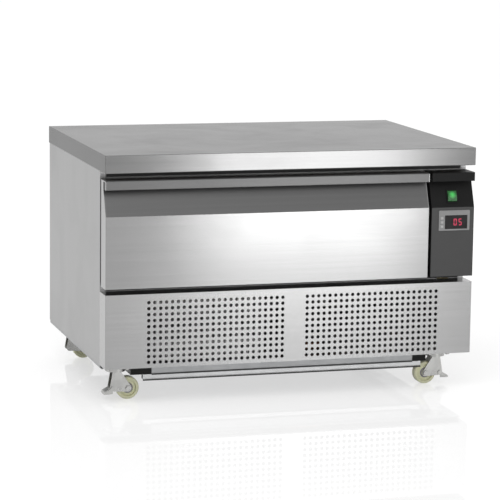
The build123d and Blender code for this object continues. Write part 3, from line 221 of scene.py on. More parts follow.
def startFinish(name):
    mat = bpy.data.materials.new(name)
    mat.use_nodes = True
    tree = mat.node_tree
    tree.nodes.clear()
    shader = tree.nodes.new("ShaderNodeBsdfPrincipled")
    out = tree.nodes.new("ShaderNodeOutputMaterial")
    tree.links.new(shader.outputs["BSDF"], out.inputs["Surface"])
    return mat, tree, shader


def setColour(tree, shader, colour):
    tree.links.new(colour, shader.inputs["Base Color"])


def setRough(tree, shader, cloud, rough, finer, coarser):
    # roughness that follows a noise, from finer to coarser than the given one
    gloss = spread(tree, cloud, **noiseBand, lowTo=rough - finer, highTo=rough + coarser)
    tree.links.new(gloss, shader.inputs["Roughness"])


def raiseBy(tree, shader, height, strength, distance):
    bump = put(tree, "ShaderNodeBump", {"Height": height, "Strength": strength, "Distance": distance})
    tree.links.new(bump.outputs["Normal"], shader.inputs["Normal"])


def grey(value):
    return (value, value, value)


def timesTone(tone, factor, lift=0.0):
    return tuple(min(c * factor + lift, 1.0) for c in tone)


def brushedSheet(name, tone, stretch, rough, patches=0.04, aniso=0.0, turn=0.0, edge=1.0, contrast=0.03):
    # stainless sheet: brushed lines in tone, gloss and relief, with wiped patches; edge is the tint
    # that grazing views take
    mat, tree, shader = startFinish(name)
    lines = useGroup(tree, brushLines, Stretch=stretch)
    wiped = useGroup(tree, smudges, Scale=6.0).outputs["Patches"]
    shade = spread(tree, lines.outputs["Tone"], **noiseBand)
    colour = blendColour(tree, shade, timesTone(tone, 1 - contrast), timesTone(tone, 1 + contrast))
    setColour(tree, shader, colour)
    shader.inputs["Metallic"].default_value = 1.0
    shader.inputs["Specular Tint"].default_value = (*grey(edge), 1.0)
    finer, coarser = 0.02, 0.03
    gloss = spread(tree, lines.outputs["Lines"], **noiseBand, lowTo=rough - finer, highTo=rough + coarser)
    gloss = calc(tree, "ADD", gloss, calc(tree, "MULTIPLY", wiped, patches))
    tree.links.new(gloss, shader.inputs["Roughness"])
    shader.inputs["Anisotropic"].default_value = aniso
    shader.inputs["Anisotropic Rotation"].default_value = turn
    raiseBy(tree, shader, lines.outputs["Lines"], strength=0.5, distance=0.00001)
    return mat


def mouldedPlastic(name, tone, rough, grain=900.0, relief=0.00006, dusty=0.05, vary=0.12, level=0.5):
    # pebbled plastic: soft changes of tone and gloss, dust on top; level is the strength of its shine
    mat, tree, shader = startFinish(name)
    pebble = useGroup(tree, mouldGrain, Scale=grain)
    dust = useGroup(tree, settledDust, Amount=dusty).outputs["Mask"]
    shade = spread(tree, pebble.outputs["Tone"], **noiseBand)
    colour = blendColour(tree, shade, timesTone(tone, 1 - vary), timesTone(tone, 1 + vary))
    setColour(tree, shader, blendColour(tree, dust, colour, dustTone["plastic"]))
    setRough(tree, shader, pebble.outputs["Tone"], rough, finer=0.04, coarser=0.06)
    shader.inputs["Specular IOR Level"].default_value = level
    raiseBy(tree, shader, pebble.outputs["Height"], strength=0.35, distance=relief)
    return mat


def platedMetal(name, tone, rough, dusty=0.15, cells=160.0):
    # zinc: faint crystals in tone and gloss, with dust on the upper sides
    mat, tree, shader = startFinish(name)
    place = objectPlace(tree)
    crystal = cellNoise(tree, place, cells, "Color")
    flake = put(tree, "ShaderNodeSeparateColor", {0: crystal}).outputs[0]
    cloud = cloudNoise(tree, place, scale=35.0, detail=4.0)
    dust = useGroup(tree, settledDust, Amount=dusty).outputs["Mask"]
    colour = blendColour(tree, flake, timesTone(tone, 0.86), tone)
    dulled = spread(tree, cloud, low=0.35, high=0.7, highTo=0.35)
    colour = blendColour(tree, dulled, colour, timesTone(tone, 0.7))
    setColour(tree, shader, blendColour(tree, dust, colour, dustTone["zinc"]))
    tree.links.new(calc(tree, "SUBTRACT", 1.0, dust), shader.inputs["Metallic"])
    finer, coarser = 0.05, 0.08
    gloss = spread(tree, flake, low=0.0, high=1.0, lowTo=rough - finer, highTo=rough + coarser)
    tree.links.new(gloss, shader.inputs["Roughness"])
    raiseBy(tree, shader, cloud, strength=0.2, distance=0.0002)
    return mat


def rubberLike(name, tone, rough):
    # black rubber with a paler bloom and a fine grain
    mat, tree, shader = startFinish(name)
    place = objectPlace(tree)
    bloom = cloudNoise(tree, place, scale=45.0, detail=5.0)
    fine = cloudNoise(tree, place, scale=1600.0, detail=1.0)
    mask = spread(tree, bloom, low=0.4, high=0.75, highTo=0.6)
    setColour(tree, shader, blendColour(tree, mask, tone, timesTone(tone, 1.9, lift=0.01)))
    setRough(tree, shader, bloom, rough, finer=0.06, coarser=0.08)
    raiseBy(tree, shader, fine, strength=0.3, distance=0.00005)
    return mat


def waxyNylon(name, tone):
    # a wheel: faint marbling, scuffs and dirt, soft light passing in
    mat, tree, shader = startFinish(name)
    place = objectPlace(tree)
    marble = cloudNoise(tree, place, scale=50.0, detail=4.0, distortion=1.0)
    scuff = cloudNoise(tree, place, scale=260.0, detail=6.0)
    colour = blendColour(tree, spread(tree, marble, **noiseBand), tone, timesTone(tone, 0.88))
    dirt, dirtTone = spread(tree, scuff, low=0.55, high=0.8, highTo=0.5), (0.26, 0.24, 0.19)
    setColour(tree, shader, blendColour(tree, dirt, colour, dirtTone))
    setRough(tree, shader, scuff, rough=0.42, finer=0.08, coarser=0.08)
    shader.inputs["Subsurface Weight"].default_value = 0.15
    shader.inputs["Subsurface Radius"].default_value = (0.006, 0.005, 0.003)
    raiseBy(tree, shader, scuff, strength=0.25, distance=0.0001)
    return mat


def litSurface(name, tone, glow, strength, rough, centre=None, reach=0.02):
    # glows all over, or from a centre out to its reach
    mat, tree, shader = startFinish(name)
    place = objectPlace(tree)
    cloud = cloudNoise(tree, place, scale=120.0, detail=2.0)
    shade = spread(tree, cloud, **noiseBand)
    setColour(tree, shader, blendColour(tree, shade, tone, timesTone(tone, 0.85)))
    bright = blendColour(tree, shade, glow, timesTone(glow, 0.9))
    if centre:
        away = put(tree, "ShaderNodeVectorMath", {0: place, 1: centre}, operation="DISTANCE").outputs["Value"]
        fade = spread(tree, away, low=0.1 * reach, high=reach)
        bright = blendColour(tree, fade, bright, timesTone(glow, 0.05))
    tree.links.new(bright, shader.inputs["Emission Color"])
    shader.inputs["Emission Strength"].default_value = strength
    shader.inputs["Roughness"].default_value = rough
    return mat


def darkWindow(name, tone, hazeTone, level):
    # smoked plastic with a breath of haze
    mat, tree, shader = startFinish(name)
    haze = cloudNoise(tree, objectPlace(tree), scale=90.0, detail=4.0)
    setColour(tree, shader, blendColour(tree, haze, tone, hazeTone))
    setRough(tree, shader, haze, rough=0.12, finer=0.04, coarser=0.04)
    shader.inputs["Specular IOR Level"].default_value = level
    return mat


def rigidFoam(name, tone, paleTone):
    # foam cut through its cells
    mat, tree, shader = startFinish(name)
    cell = cellNoise(tree, objectPlace(tree), 700.0, "Distance")
    setColour(tree, shader, blendColour(tree, cell, tone, paleTone))
    shader.inputs["Roughness"].default_value = 0.9
    raiseBy(tree, shader, cell, strength=0.5, distance=0.0004)
    return mat


def pressedBoard(name, tone, paleTone):
    # wood chips pressed flat
    mat, tree, shader = startFinish(name)
    chip = cloudNoise(tree, objectPlace(tree), scale=400.0, detail=6.0)
    setColour(tree, shader, blendColour(tree, chip, tone, paleTone))
    shader.inputs["Roughness"].default_value = 0.8
    raiseBy(tree, shader, chip, strength=0.4, distance=0.0003)
    return mat


def drawnCopper(name, tone, stainTone):
    # bright tube with darker stains
    mat, tree, shader = startFinish(name)
    stain = cloudNoise(tree, objectPlace(tree), scale=30.0, detail=6.0, distortion=0.8)
    mask = spread(tree, stain, low=0.4, high=0.7)
    setColour(tree, shader, blendColour(tree, mask, tone, stainTone))
    shader.inputs["Metallic"].default_value = 1.0
    setRough(tree, shader, stain, rough=0.32, finer=0.10, coarser=0.10)
    raiseBy(tree, shader, stain, strength=0.15, distance=0.0002)
    return mat


def enamel(name, tone, rough, peel=220.0):
    # paint with its orange peel and a little dust
    mat, tree, shader = startFinish(name)
    skin = cloudNoise(tree, objectPlace(tree), scale=peel, detail=2.0)
    dust = useGroup(tree, settledDust, Amount=0.3).outputs["Mask"]
    colour = blendColour(tree, spread(tree, skin, **noiseBand), tone, timesTone(tone, 1.4))
    setColour(tree, shader, blendColour(tree, dust, colour, dustTone["paint"]))
    setRough(tree, shader, skin, rough, finer=0.04, coarser=0.06)
    raiseBy(tree, shader, skin, strength=0.3, distance=0.0002)
    return mat


alongX = (5.0, 900.0, 900.0)
alongY = (900.0, 5.0, 900.0)
alongZ = (900.0, 900.0, 5.0)
zincTone = (0.35, 0.355, 0.36)
flatGrain = {"relief": 0.00003, "dusty": 0.0}
finishes = {}


def addFinish(maker, name, *values, **more):
    finishes[name] = maker(name, *values, **more)


# one stainless steel in toned copies: each face's base tone follows how brightly it is lit, darkest on the
# worktop and the front frame, palest on the cover and the sides (painted light and shade)
addFinish(brushedSheet, "topSteel", grey(0.19), alongX, 0.17, edge=0.68, contrast=0.04)
addFinish(brushedSheet, "frontSteel", grey(0.285), alongX, 0.19, aniso=0.4, turn=0.25)
addFinish(brushedSheet, "coverSteel", grey(0.33), alongX, 0.21, patches=0.03, aniso=0.3, turn=0.25)
addFinish(brushedSheet, "sideSteel", grey(0.335), alongZ, 0.34)
addFinish(brushedSheet, "innerSteel", grey(0.50), alongX, 0.30)
addFinish(brushedSheet, "frameSteel", grey(0.22), alongX, 0.34)
addFinish(brushedSheet, "tubSteel", grey(0.50), alongY, 0.28)
addFinish(brushedSheet, "handleMetal", grey(0.14), alongX, 0.40, patches=0.02)
addFinish(platedMetal, "zincSheet", zincTone, 0.36, dusty=0.1, cells=90.0)
addFinish(platedMetal, "trayZinc", zincTone, 0.5, dusty=0.1, cells=90.0)
# the front rail's zinc is a paler copy of the tray's, toned to how brightly the rail is lit: painted light
addFinish(platedMetal, "railZinc", (0.56, 0.565, 0.57), 0.5, dusty=0.1, cells=90.0)
addFinish(enamel, "beamPaint", (0.012, 0.012, 0.013), 0.45)
addFinish(enamel, "shellPaint", (0.010, 0.010, 0.011), 0.28)
addFinish(platedMetal, "zincPlate", (0.42, 0.42, 0.41), 0.30, dusty=0.1, cells=60.0)
addFinish(mouldedPlastic, "blackMould", grey(0.010), 0.42, dusty=0.01, level=0.12)
addFinish(mouldedPlastic, "greyFoil", grey(0.053), 0.40, 1500.0, **flatGrain, vary=0.04, level=0.3)
addFinish(mouldedPlastic, "silverBezel", grey(0.24), 0.34, 1200.0, **flatGrain, vary=0.05)
addFinish(mouldedPlastic, "keyPlastic", grey(0.42), 0.40, 1200.0, **flatGrain)
addFinish(darkWindow, "window", (0.012, 0.011, 0.012), (0.022, 0.020, 0.021), level=0.22)
rockerGlow = {"strength": 0.75, "rough": 0.22, "centre": (0.396, -0.306, 0.469), "reach": 0.0095}
addFinish(litSurface, "greenLit", (0.01, 0.10, 0.02), (0.09, 0.80, 0.15), **rockerGlow)
addFinish(waxyNylon, "nylon", (0.82, 0.82, 0.57))
addFinish(rubberLike, "rubber", grey(0.022), 0.6)
addFinish(brushedSheet, "fins", grey(0.62), alongZ, 0.34, patches=0.12)
# near-black enamel for the condenser shroud, darkening the inside seen through the cover's holes: painted
# shade
addFinish(enamel, "darkFins", (0.014, 0.014, 0.015), 0.5)
addFinish(mouldedPlastic, "fanPlastic", grey(0.03), 0.45, dusty=0.25)
addFinish(drawnCopper, "copper", (0.55, 0.29, 0.19), (0.28, 0.13, 0.09))
addFinish(rigidFoam, "foam", (0.62, 0.52, 0.28), (0.80, 0.70, 0.42))
addFinish(pressedBoard, "board", (0.30, 0.20, 0.11), (0.52, 0.38, 0.24))
addFinish(mouldedPlastic, "drainPlastic", (0.5, 0.5, 0.48), 0.35, grain=400.0, dusty=0.05)

frontCorners = ["front_left", "front_right"]
corners = frontCorners + ["back_left", "back_right"]
nodesOf = {
    "topSteel": ["worktop"],
    "frontSteel": ["drawer_skin"],
    "handleMetal": ["drawer_handle"],
    "coverSteel": ["machine_cover"],
    "sideSteel": ["side_panel_left", "side_panel_right"],
    "frameSteel": ["front_frame"],
    "innerSteel": ["liner", "drawer_inner_panel", "evaporator_cover"],
    "tubSteel": ["drawer_tub", "pan_bar"],
    "zincSheet": ["back_panel", "base_plate"],
    "trayZinc": ["drip_tray"],
    "railZinc": ["front_rail"],
    "zincPlate": ["cabinet_runners", "middle_runner_left", "middle_runner_right", "tub_runners"]
    + ["castor_plates", "castor_bolts"]
    + [f"castor_fork_{corner}" for corner in corners]
    + [f"brake_pedal_{corner}" for corner in frontCorners],
    "beamPaint": ["chassis_beams"],
    "shellPaint": ["compressor", "condenser_fan_motor", "evaporator_fan_motor"],
    # the shroud's black is painted shade inside the machine
    "darkFins": ["condenser_shroud"],
    "blackMould": ["control_cap", "switch_body", "relay_cover", "power_inlet"],
    "greyFoil": ["control_fascia"],
    "silverBezel": ["thermostat_case"],
    "window": ["thermostat_window"],
    "keyPlastic": [f"thermostat_key_{number}" for number in (1, 2, 3)],
    "greenLit": ["switch_rocker"],
    "rubber": ["drawer_gasket", "compressor_mounts"],
    "nylon": [f"castor_wheel_{corner}" for corner in corners],
    "fins": ["condenser", "evaporator_coil"],
    "fanPlastic": ["condenser_fan", "evaporator_fan"],
    "copper": ["refrigerant_pipes", "filter_drier"],
    "drainPlastic": ["drain_tube"],
    "foam": ["foam_body", "drawer_foam"],
    "board": ["worktop_board"],
}
finishOf = {node: finish for finish, nodes in nodesOf.items() for node in nodes}
for name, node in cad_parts.items():
    finish = finishes[finishOf[name]]
    if not node.material_slots:
        node.data.materials.append(finish)
    for place in node.material_slots:
        place.material = finish
print("stage: finishes put on the frame")


# new pieces
def newPiece(name, points, faces, finish, body, smooth=False):
    mesh = bpy.data.meshes.new(name)
    mesh.from_pydata([tuple(p) for p in points], [], [tuple(f) for f in faces])
    mesh.validate()
    mesh.update()
    if smooth:
        mesh.polygons.foreach_set("use_smooth", np.ones(len(mesh.polygons), bool))
    piece = bpy.data.objects.new(name, mesh)
    bpy.context.scene.collection.objects.link(piece)
    piece.data.materials.append(finishes[finish])
    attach(piece, body)
    return piece


def boxes(limits):
    # closed boxes: corners from the low and high limits of each, faces outwards
    limits = np.asarray(limits, float)
    low, high = limits[:, :3], limits[:, 3:]
    pick = np.array([[i, j, k] for i in (0, 1) for j in (0, 1) for k in (0, 1)], float)
    points = (low[:, None] * (1 - pick) + high[:, None] * pick).reshape(-1, 3)
    quads = np.array([[0, 1, 3, 2], [4, 6, 7, 5], [0, 4, 5, 1], [2, 3, 7, 6], [0, 2, 6, 4], [1, 5, 7, 3]])
    faces = (quads[None] + 8 * np.arange(len(limits))[:, None, None]).reshape(-1, 4)
    return points, faces


# red figures: seven bars a figure, each a thin plate on the window's face
display = {
    "figures": "05",
    "height": 0.0165,
    "width": 0.0085,
    "pitch": 0.0125,
    "bar": 0.0026,
    "lift": 0.00008,
    "centre": (0.4085, 0.4050),
}
barsOf = {"0": "abcdef", "5": "afgcd"}
addFinish(litSurface, "redLit", (0.2, 0.01, 0.02), (0.40, 0.008, 0.055), strength=1.0, rough=0.3)


def figureBars(d):
    # upright bars stop short of the lying ones by a third of a bar
    x0 = d["centre"][0] - (len(d["figures"]) - 1) * d["pitch"] / 2
    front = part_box("thermostat_window")[0].y
    limits = []
    for i, figure in enumerate(d["figures"]):
        x, z, w, h, b = x0 + i * d["pitch"], d["centre"][1], d["width"] / 2, d["height"] / 2, d["bar"]
        bars = {
            "a": (x - w + b / 2, z + h - b, x + w - b / 2, z + h),
            "d": (x - w + b / 2, z - h, x + w - b / 2, z - h + b),
            "g": (x - w + b / 2, z - b / 2, x + w - b / 2, z + b / 2),
            "b": (x + w - b, z + b / 3, x + w, z + h - b / 3),
            "f": (x - w, z + b / 3, x - w + b, z + h - b / 3),
            "c": (x + w - b, z - h + b / 3, x + w, z - b / 3),
            "e": (x - w, z - h + b / 3, x - w + b, z - b / 3),
        }
        for key in barsOf[figure]:
            xa, za, xb, zb = bars[key]
            limits.append((xa, front - d["lift"], za, xb, front, zb))
    return limits


newPiece("displayFigures", *boxes(figureBars(display)), "redLit", "cabinet")
print("stage: display made")


def plates(outlines, spans, place, chamfer):
    # closed plates: each flat outline is carried from one depth to another, with its two rims
    # drawn in by the chamfer; place turns (a, b, depth) rows into points
    points, faces, start = [], [], 0
    for outline, (low, high) in zip(outlines, spans):
        outline = np.asarray(outline, float)
        n = len(outline)
        middle = outline.mean(0)
        size = np.linalg.norm(outline - middle, axis=1, keepdims=True)
        drawn = middle + (outline - middle) * (1 - chamfer / size)
        rows = [(drawn, low), (outline, low + chamfer), (outline, high - chamfer), (drawn, high)]
        points.append(np.vstack([np.column_stack([ring, np.full(n, depth)]) for ring, depth in rows]))
        k = np.arange(n)
        after = (k + 1) % n
        for row in range(3):
            a, b = start + row * n, start + (row + 1) * n
            faces += np.column_stack([a + k, a + after, b + after, b + k]).tolist()
        faces += [(start + k[::-1]).tolist(), (start + 3 * n + k).tolist()]
        start += 4 * n
    return place(np.vstack(points)), faces


def roundedOutline(x0, x1, y0, y1, radius, steps=5):
    # a rectangle whose four corners are quarter turns, counter-clockwise
    xLow, xHigh, yLow, yHigh = x0 + radius, x1 - radius, y0 + radius, y1 - radius
    rows = []
    for quarter, (x, y) in enumerate(((xHigh, yHigh), (xLow, yHigh), (xLow, yLow), (xHigh, yLow))):
        turn = np.linspace(0, math.pi / 2, steps) + quarter * math.pi / 2
        rows.append(np.column_stack([x + radius * np.cos(turn), y + radius * np.sin(turn)]))
    return np.vstack(rows)


def turned(profile, centre, axis, steps=48):
    # a closed ring turned about an axis: the profile's (radius, along) points go round it
    profile = np.asarray(profile, float)
    axis = Vector(axis).normalized()
    side = axis.orthogonal().normalized()
    other = axis.cross(side)
    angle = np.arange(steps) * 2 * math.pi / steps
    radial = np.outer(np.cos(angle), side) + np.outer(np.sin(angle), other)
    outwards = profile[None, :, :1] * radial[:, None]
    points = np.asarray(centre) + outwards + profile[None, :, 1:] * np.asarray(axis)
    row = len(profile)
    i, j = np.meshgrid(np.arange(steps), np.arange(row), indexing="ij")
    nextI, nextJ = (i + 1) % steps, (j + 1) % row
    quads = [i * row + j, nextI * row + j, nextI * row + nextJ, i * row + nextJ]
    return points.reshape(-1, 3), np.stack(quads, -1).reshape(-1, 4)


def shell(outer, inner):
    # a closed sheet: one grid outside, one inside, and a strip round the border
    nu, nv = outer.shape[:2]
    points = np.vstack([outer.reshape(-1, 3), inner.reshape(-1, 3)])
    i, j = np.meshgrid(np.arange(nu - 1), np.arange(nv - 1), indexing="ij")
    a = (i * nv + j).ravel()
    top = np.column_stack([a, a + nv, a + nv + 1, a + 1])
    under = top[:, ::-1] + nu * nv
    u, v = np.arange(nu - 1), np.arange(nv - 1)
    rim = np.concatenate([v, nv - 1 + nv * u, nu * nv - 1 - v, nv * (nu - 1 - u)])
    after = np.roll(rim, -1)
    edge = np.column_stack([rim, after, after + nu * nv, rim + nu * nv])
    return points, np.vstack([top, under, edge])


def joined(parts):
    # several lots of points and faces as one
    points, faces, start = [], [], 0
    for somePoints, someFaces in parts:
        points.append(np.asarray(somePoints))
        faces += [[start + k for k in face] for face in someFaces]
        start += len(somePoints)
    return np.vstack(points), faces


# marks on the rocker: a ring on the end that stands out, a bar on the end that is in
rockerMarks = {
    "origin": (0.396, -0.303074, 0.466),
    "up": (0.0, 0.35280, 0.93570),
    "out": (0.0, -0.93570, 0.35280),
    "pivotDepth": 0.003,
    "tilt": 7.0,
    "apex": 0.0062,
    "shoulder": 0.0024,
    "halfLength": 0.0135,
    "lift": 0.00018,
    "ringOuter": 0.0030,
    "ringInner": 0.0023,
    "barHalf": (0.0005, 0.003),
    "barCorner": 0.0004,
    "barChamfer": 0.00004,
}


def rockerFace(d, end):
    # a plane on one half of the rocker: middle, along, out
    up, out = np.array(d["up"]), np.array(d["out"])
    tilt = math.radians(d["tilt"])
    along = np.array([end * d["halfLength"], d["shoulder"] - d["apex"]])
    along /= np.linalg.norm(along)
    facing = np.array([-along[1], along[0]]) * end
    middle = np.array([end * d["halfLength"] / 2, (d["apex"] + d["shoulder"]) / 2])
    spin = np.array([[math.cos(tilt), -math.sin(tilt)], [math.sin(tilt), math.cos(tilt)]])
    pivot = np.array(d["origin"]) - out * d["pivotDepth"]
    in3d = lambda pair: pair[0] * up + pair[1] * out
    return pivot + in3d(spin @ middle), in3d(spin @ along), in3d(spin @ facing)


addFinish(mouldedPlastic, "markWhite", grey(0.55), 0.4, dusty=0.0)
middle, along, facing = rockerFace(rockerMarks, 1)
outer, inner, lift = (rockerMarks[key] for key in ("ringOuter", "ringInner", "lift"))
ring = [(outer, 0.0), (outer, lift), (inner, lift), (inner, 0.0)]
newPiece("rockerRing", *turned(ring, middle, facing, steps=32), "markWhite", "rocker")
middle, along, facing = rockerFace(rockerMarks, -1)
across = np.array([1.0, 0.0, 0.0])
upwards = np.cross(facing, across)
onRocker = lambda rows: middle + rows[:, :1] * across + rows[:, 1:2] * upwards + rows[:, 2:] * facing
x, y = rockerMarks["barHalf"]
outline = roundedOutline(-x, x, -y, y, rockerMarks["barCorner"])
bar = plates([outline], [(0.0, lift)], onRocker, rockerMarks["barChamfer"])
newPiece("rockerBar", *bar, "markWhite", "rocker")

# pressed dust caps in the wheels' hollows: a nylon web, and a small grey shield round the axle
addFinish(mouldedPlastic, "capGrey", (0.25, 0.24, 0.27), 0.38, dusty=0.1)
hubCap = {"inner": 0.0124, "outer": 0.0194, "floor": 0.0059, "rise": 0.0015, "sheet": 0.0008}
hubShield = {"inner": 0.0089, "outer": 0.0123, "floor": 0.0072, "rise": 0.0011, "sheet": 0.0008}


def hubCapProfile(d, side):
    # a shallow dish: a half cosine from the rim up to the hub, then back underneath
    share = np.linspace(0, 1, 9)
    radius = d["outer"] + (d["inner"] - d["outer"]) * share
    top = d["floor"] + d["sheet"] + d["rise"] * (1 - np.cos(math.pi * share)) / 2
    under = top - d["sheet"]
    rows = np.vstack([np.column_stack([radius, top]), np.column_stack([radius, under])[::-1]])
    rows[:, 1] *= side
    return rows if side > 0 else rows[::-1]


for corner in corners:
    low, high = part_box(f"castor_wheel_{corner}")
    hub = (low + high) / 2
    for name, values, finish in (("hubCap", hubCap, "nylon"), ("hubShield", hubShield, "capGrey")):
        lots = [turned(hubCapProfile(values, side), hub, (0, 1, 0)) for side in (-1, 1)]
        newPiece(f"{name}_{corner}", *joined(lots), finish, f"wheel_{corner}", smooth=True)

# plugs in the ends of the chassis beams: a cap on the end, a stem in the hollow
beamPlug = {
    "proud": 0.0014,
    "corner": 0.002,
    "chamfer": 0.0004,
    "inset": 0.0003,
    "stem": 0.012,
    "stemGap": 0.0022,
}
low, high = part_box("chassis_beams")
trayLow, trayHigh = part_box("drip_tray")
for name, end, way in (("front", low.y, -1), ("back", high.y, 1)):
    outlines, spans = [], []
    for x0, x1 in ((low.x, trayLow.x), (trayHigh.x, high.x)):
        inset, gap = beamPlug["inset"], beamPlug["stemGap"]
        outlines.append(roundedOutline(x0, x1, low.z + inset, high.z - inset, beamPlug["corner"]))
        spans.append((0.0, beamPlug["proud"]))
        stem = (x0 + gap, x1 - gap, low.z + gap, high.z - gap)
        outlines.append(roundedOutline(*stem, beamPlug["corner"] / 2))
        spans.append((-beamPlug["stem"], 0.0))
    onEnd = lambda rows, end=end, way=way: np.column_stack([rows[:, 0], end + way * rows[:, 2], rows[:, 1]])
    points, faces = plates(outlines, spans, onEnd, beamPlug["chamfer"])
    if way > 0:
        faces = [face[::-1] for face in faces]
    newPiece(f"beamPlugs_{name}", points, faces, "blackMould", "cabinet")

# black strips: two in the gaps of the front frame and one on the drawer's roof, painted shade in those gaps;
# dark lines along the tray and the light rail, painted shadow under them;
# and a seal on the base plate that closes the gap under the back panel
sealsAndShade = {
    "proud": 0.0024,
    "chamfer": 0.0003,
    "inset": 0.003,
    "upper": (0.5262, 0.5345),
    "lower": (0.2618, 0.2722),
    "roof": (-0.3125, -0.2985),
    "roofThick": 0.0012,
    "joint": 0.0017,
    "shadowProud": 0.0006,
    "foot": 0.0034,
    "overlap": 0.0001,
    "sill": (0.0022, 0.0115),
    "sillSide": 0.0024,
    "sillThick": 0.0014,
    "sillGap": 0.0002,
}


def strip(x0, x1, a0, a1, start, depth, way="y", chamfer=sealsAndShade["chamfer"]):
    # a flat bar: way "y" lays it on a front face, way "z" on a top face
    outline = [(x0, a0), (x1, a0), (x1, a1), (x0, a1)]
    if way == "y":
        place = lambda rows: np.column_stack([rows[:, 0], start - rows[:, 2], rows[:, 1]])
    else:
        place = lambda rows: np.column_stack([rows[:, 0], rows[:, 1], start + rows[:, 2]])
    return plates([outline], [(0.0, depth)], place, chamfer)


# black strips in the frame's upper and lower gaps: painted shade
low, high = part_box("front_frame")
x0, x1 = low.x + sealsAndShade["inset"], high.x - sealsAndShade["inset"]
lots = [strip(x0, x1, *sealsAndShade[key], low.y, sealsAndShade["proud"]) for key in ("upper", "lower")]
newPiece("frameShadeStrips", *joined(lots), "rubber", "cabinet")

# a black strip on the drawer's roof for the dark line over the handle's lip: painted shade
low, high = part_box("drawer_handle")
roof = strip(low.x, high.x, *sealsAndShade["roof"], high.z, sealsAndShade["roofThick"], way="z")
newPiece("drawerRoofShadeStrip", *roof, "rubber", "drawer")

# end caps that close the finger pocket at both ends of the handle
endCap = {"thick": 0.0012, "inset": 0.0001, "y": (-0.3108, -0.2922), "z": (0.5021, 0.5203)}
(y0, y1), (z0, z1) = endCap["y"], endCap["z"]
starts = (low.x + endCap["inset"], high.x - endCap["thick"] - endCap["inset"])
caps = [(x, y0, z0, x + endCap["thick"], y1, z1) for x in starts]
newPiece("handleEndCaps", *boxes(caps), "handleMetal", "drawer")

# thin black lines along the tray's lower edge and under the light rail: painted shadow beneath them
(trayLow, trayHigh), (railLow, railHigh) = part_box("drip_tray"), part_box("front_rail")
over = sealsAndShade["overlap"]
lines = [
    (trayLow.x, trayHigh.x, trayLow.z - sealsAndShade["joint"], trayLow.z + sealsAndShade["joint"]),
    (railLow.x, railHigh.x, railLow.z - sealsAndShade["foot"], railLow.z + over),
]
lots = [strip(*line, railLow.y, sealsAndShade["shadowProud"], chamfer=over) for line in lines]
newPiece("trayShadowLines", *joined(lots), "rubber", "cabinet")

low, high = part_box("base_plate")
z0, z1 = (low.z + rise for rise in sealsAndShade["sill"])
x0, x1 = low.x + sealsAndShade["sillSide"], high.x - sealsAndShade["sillSide"]
sill = strip(x0, x1, z0, z1, high.y - sealsAndShade["sillGap"], sealsAndShade["sillThick"])
newPiece("sillSeal", *sill, "rubber", "cabinet")

# hoods over the slots of the back panel
hoods = {
    "count": 7,
    "pitch": 0.014,
    "length": 0.186,
    "gap": 0.04,
    "slotLength": 0.180,
    "reach": 0.0072,
    "proud": 0.0026,
    "sheet": 0.0007,
    "outerLift": 0.0001,
    "innerSink": 0.0002,
    "fade": 10,
}
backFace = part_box("back_panel")[1].y
coverLow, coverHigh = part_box("machine_cover")
slotsZ = (coverLow.z + coverHigh.z) / 2


def louvreHoods(d):
    # a quarter sine outwards from the top edge down, fading to nothing at both ends
    u = np.linspace(-1, 1, 25)[:, None]
    v = np.linspace(0, 1, 7)[None, :]
    out = d["proud"] * (1 - np.abs(u) ** d["fade"]) * np.sin(v * math.pi / 2)
    lots = []
    for side in (-1, 1):
        x = side * (d["slotLength"] + d["gap"]) / 2 + u * d["length"] / 2 + 0 * v
        for i in range(d["count"]):
            z = slotsZ + (i - (d["count"] - 1) / 2) * d["pitch"] + d["reach"] * (0.5 - v) + 0 * u
            outer = np.stack([x, backFace + out + d["outerLift"], z], -1)
            inner = np.stack([x, backFace + out * (1 - d["sheet"] / d["proud"]) - d["innerSink"], z], -1)
            lots.append(shell(outer, inner))
    return joined(lots)


newPiece("louvreHoods", *louvreHoods(hoods), "zincSheet", "cabinet", smooth=True)

# dark ribbed screens inside the louvres that stand for the shade inside the machine behind the slots: painted
# shade
screens = {
    "margin": 0.006,
    "back": 0.0022,
    "thick": 0.0012,
    "rib": 0.0003,
    "ribPitch": 0.003,
    "height": 0.108,
    "steps": 260,
}


def louvreShadeScreens(d, h):
    # a shallow cosine ribbing on the face towards the machine, flat towards the panel
    half = h["slotLength"] / 2 + d["margin"]
    z = np.linspace(slotsZ - d["height"] / 2, slotsZ + d["height"] / 2, 3)[None, :]
    lots = []
    for side in (-1, 1):
        middleX = side * (h["slotLength"] + h["gap"]) / 2
        x = np.linspace(middleX - half, middleX + half, d["steps"])[:, None] + 0 * z
        ribbed = backFace - d["back"] - d["thick"] - d["rib"] * np.cos(2 * math.pi * x / d["ribPitch"])
        flat = backFace - d["back"] + 0 * x
        front, back = (np.stack([x, y, z + 0 * x], -1) for y in (ribbed, flat))
        lots.append(shell(back, front))
    return joined(lots)


newPiece("louvreShadeScreens", *louvreShadeScreens(screens, hoods), "rubber", "cabinet", smooth=True)

# pan-head screws round the back panel
screws = {
    "head": 0.0046,
    "rise": 0.0021,
    "dome": (2.6, 0.96),
    "cross": 0.0011,
    "crossReach": 0.6,
    "deep": 0.0011,
    "margin": 0.012,
    "along": 7,
    "up": 5,
}


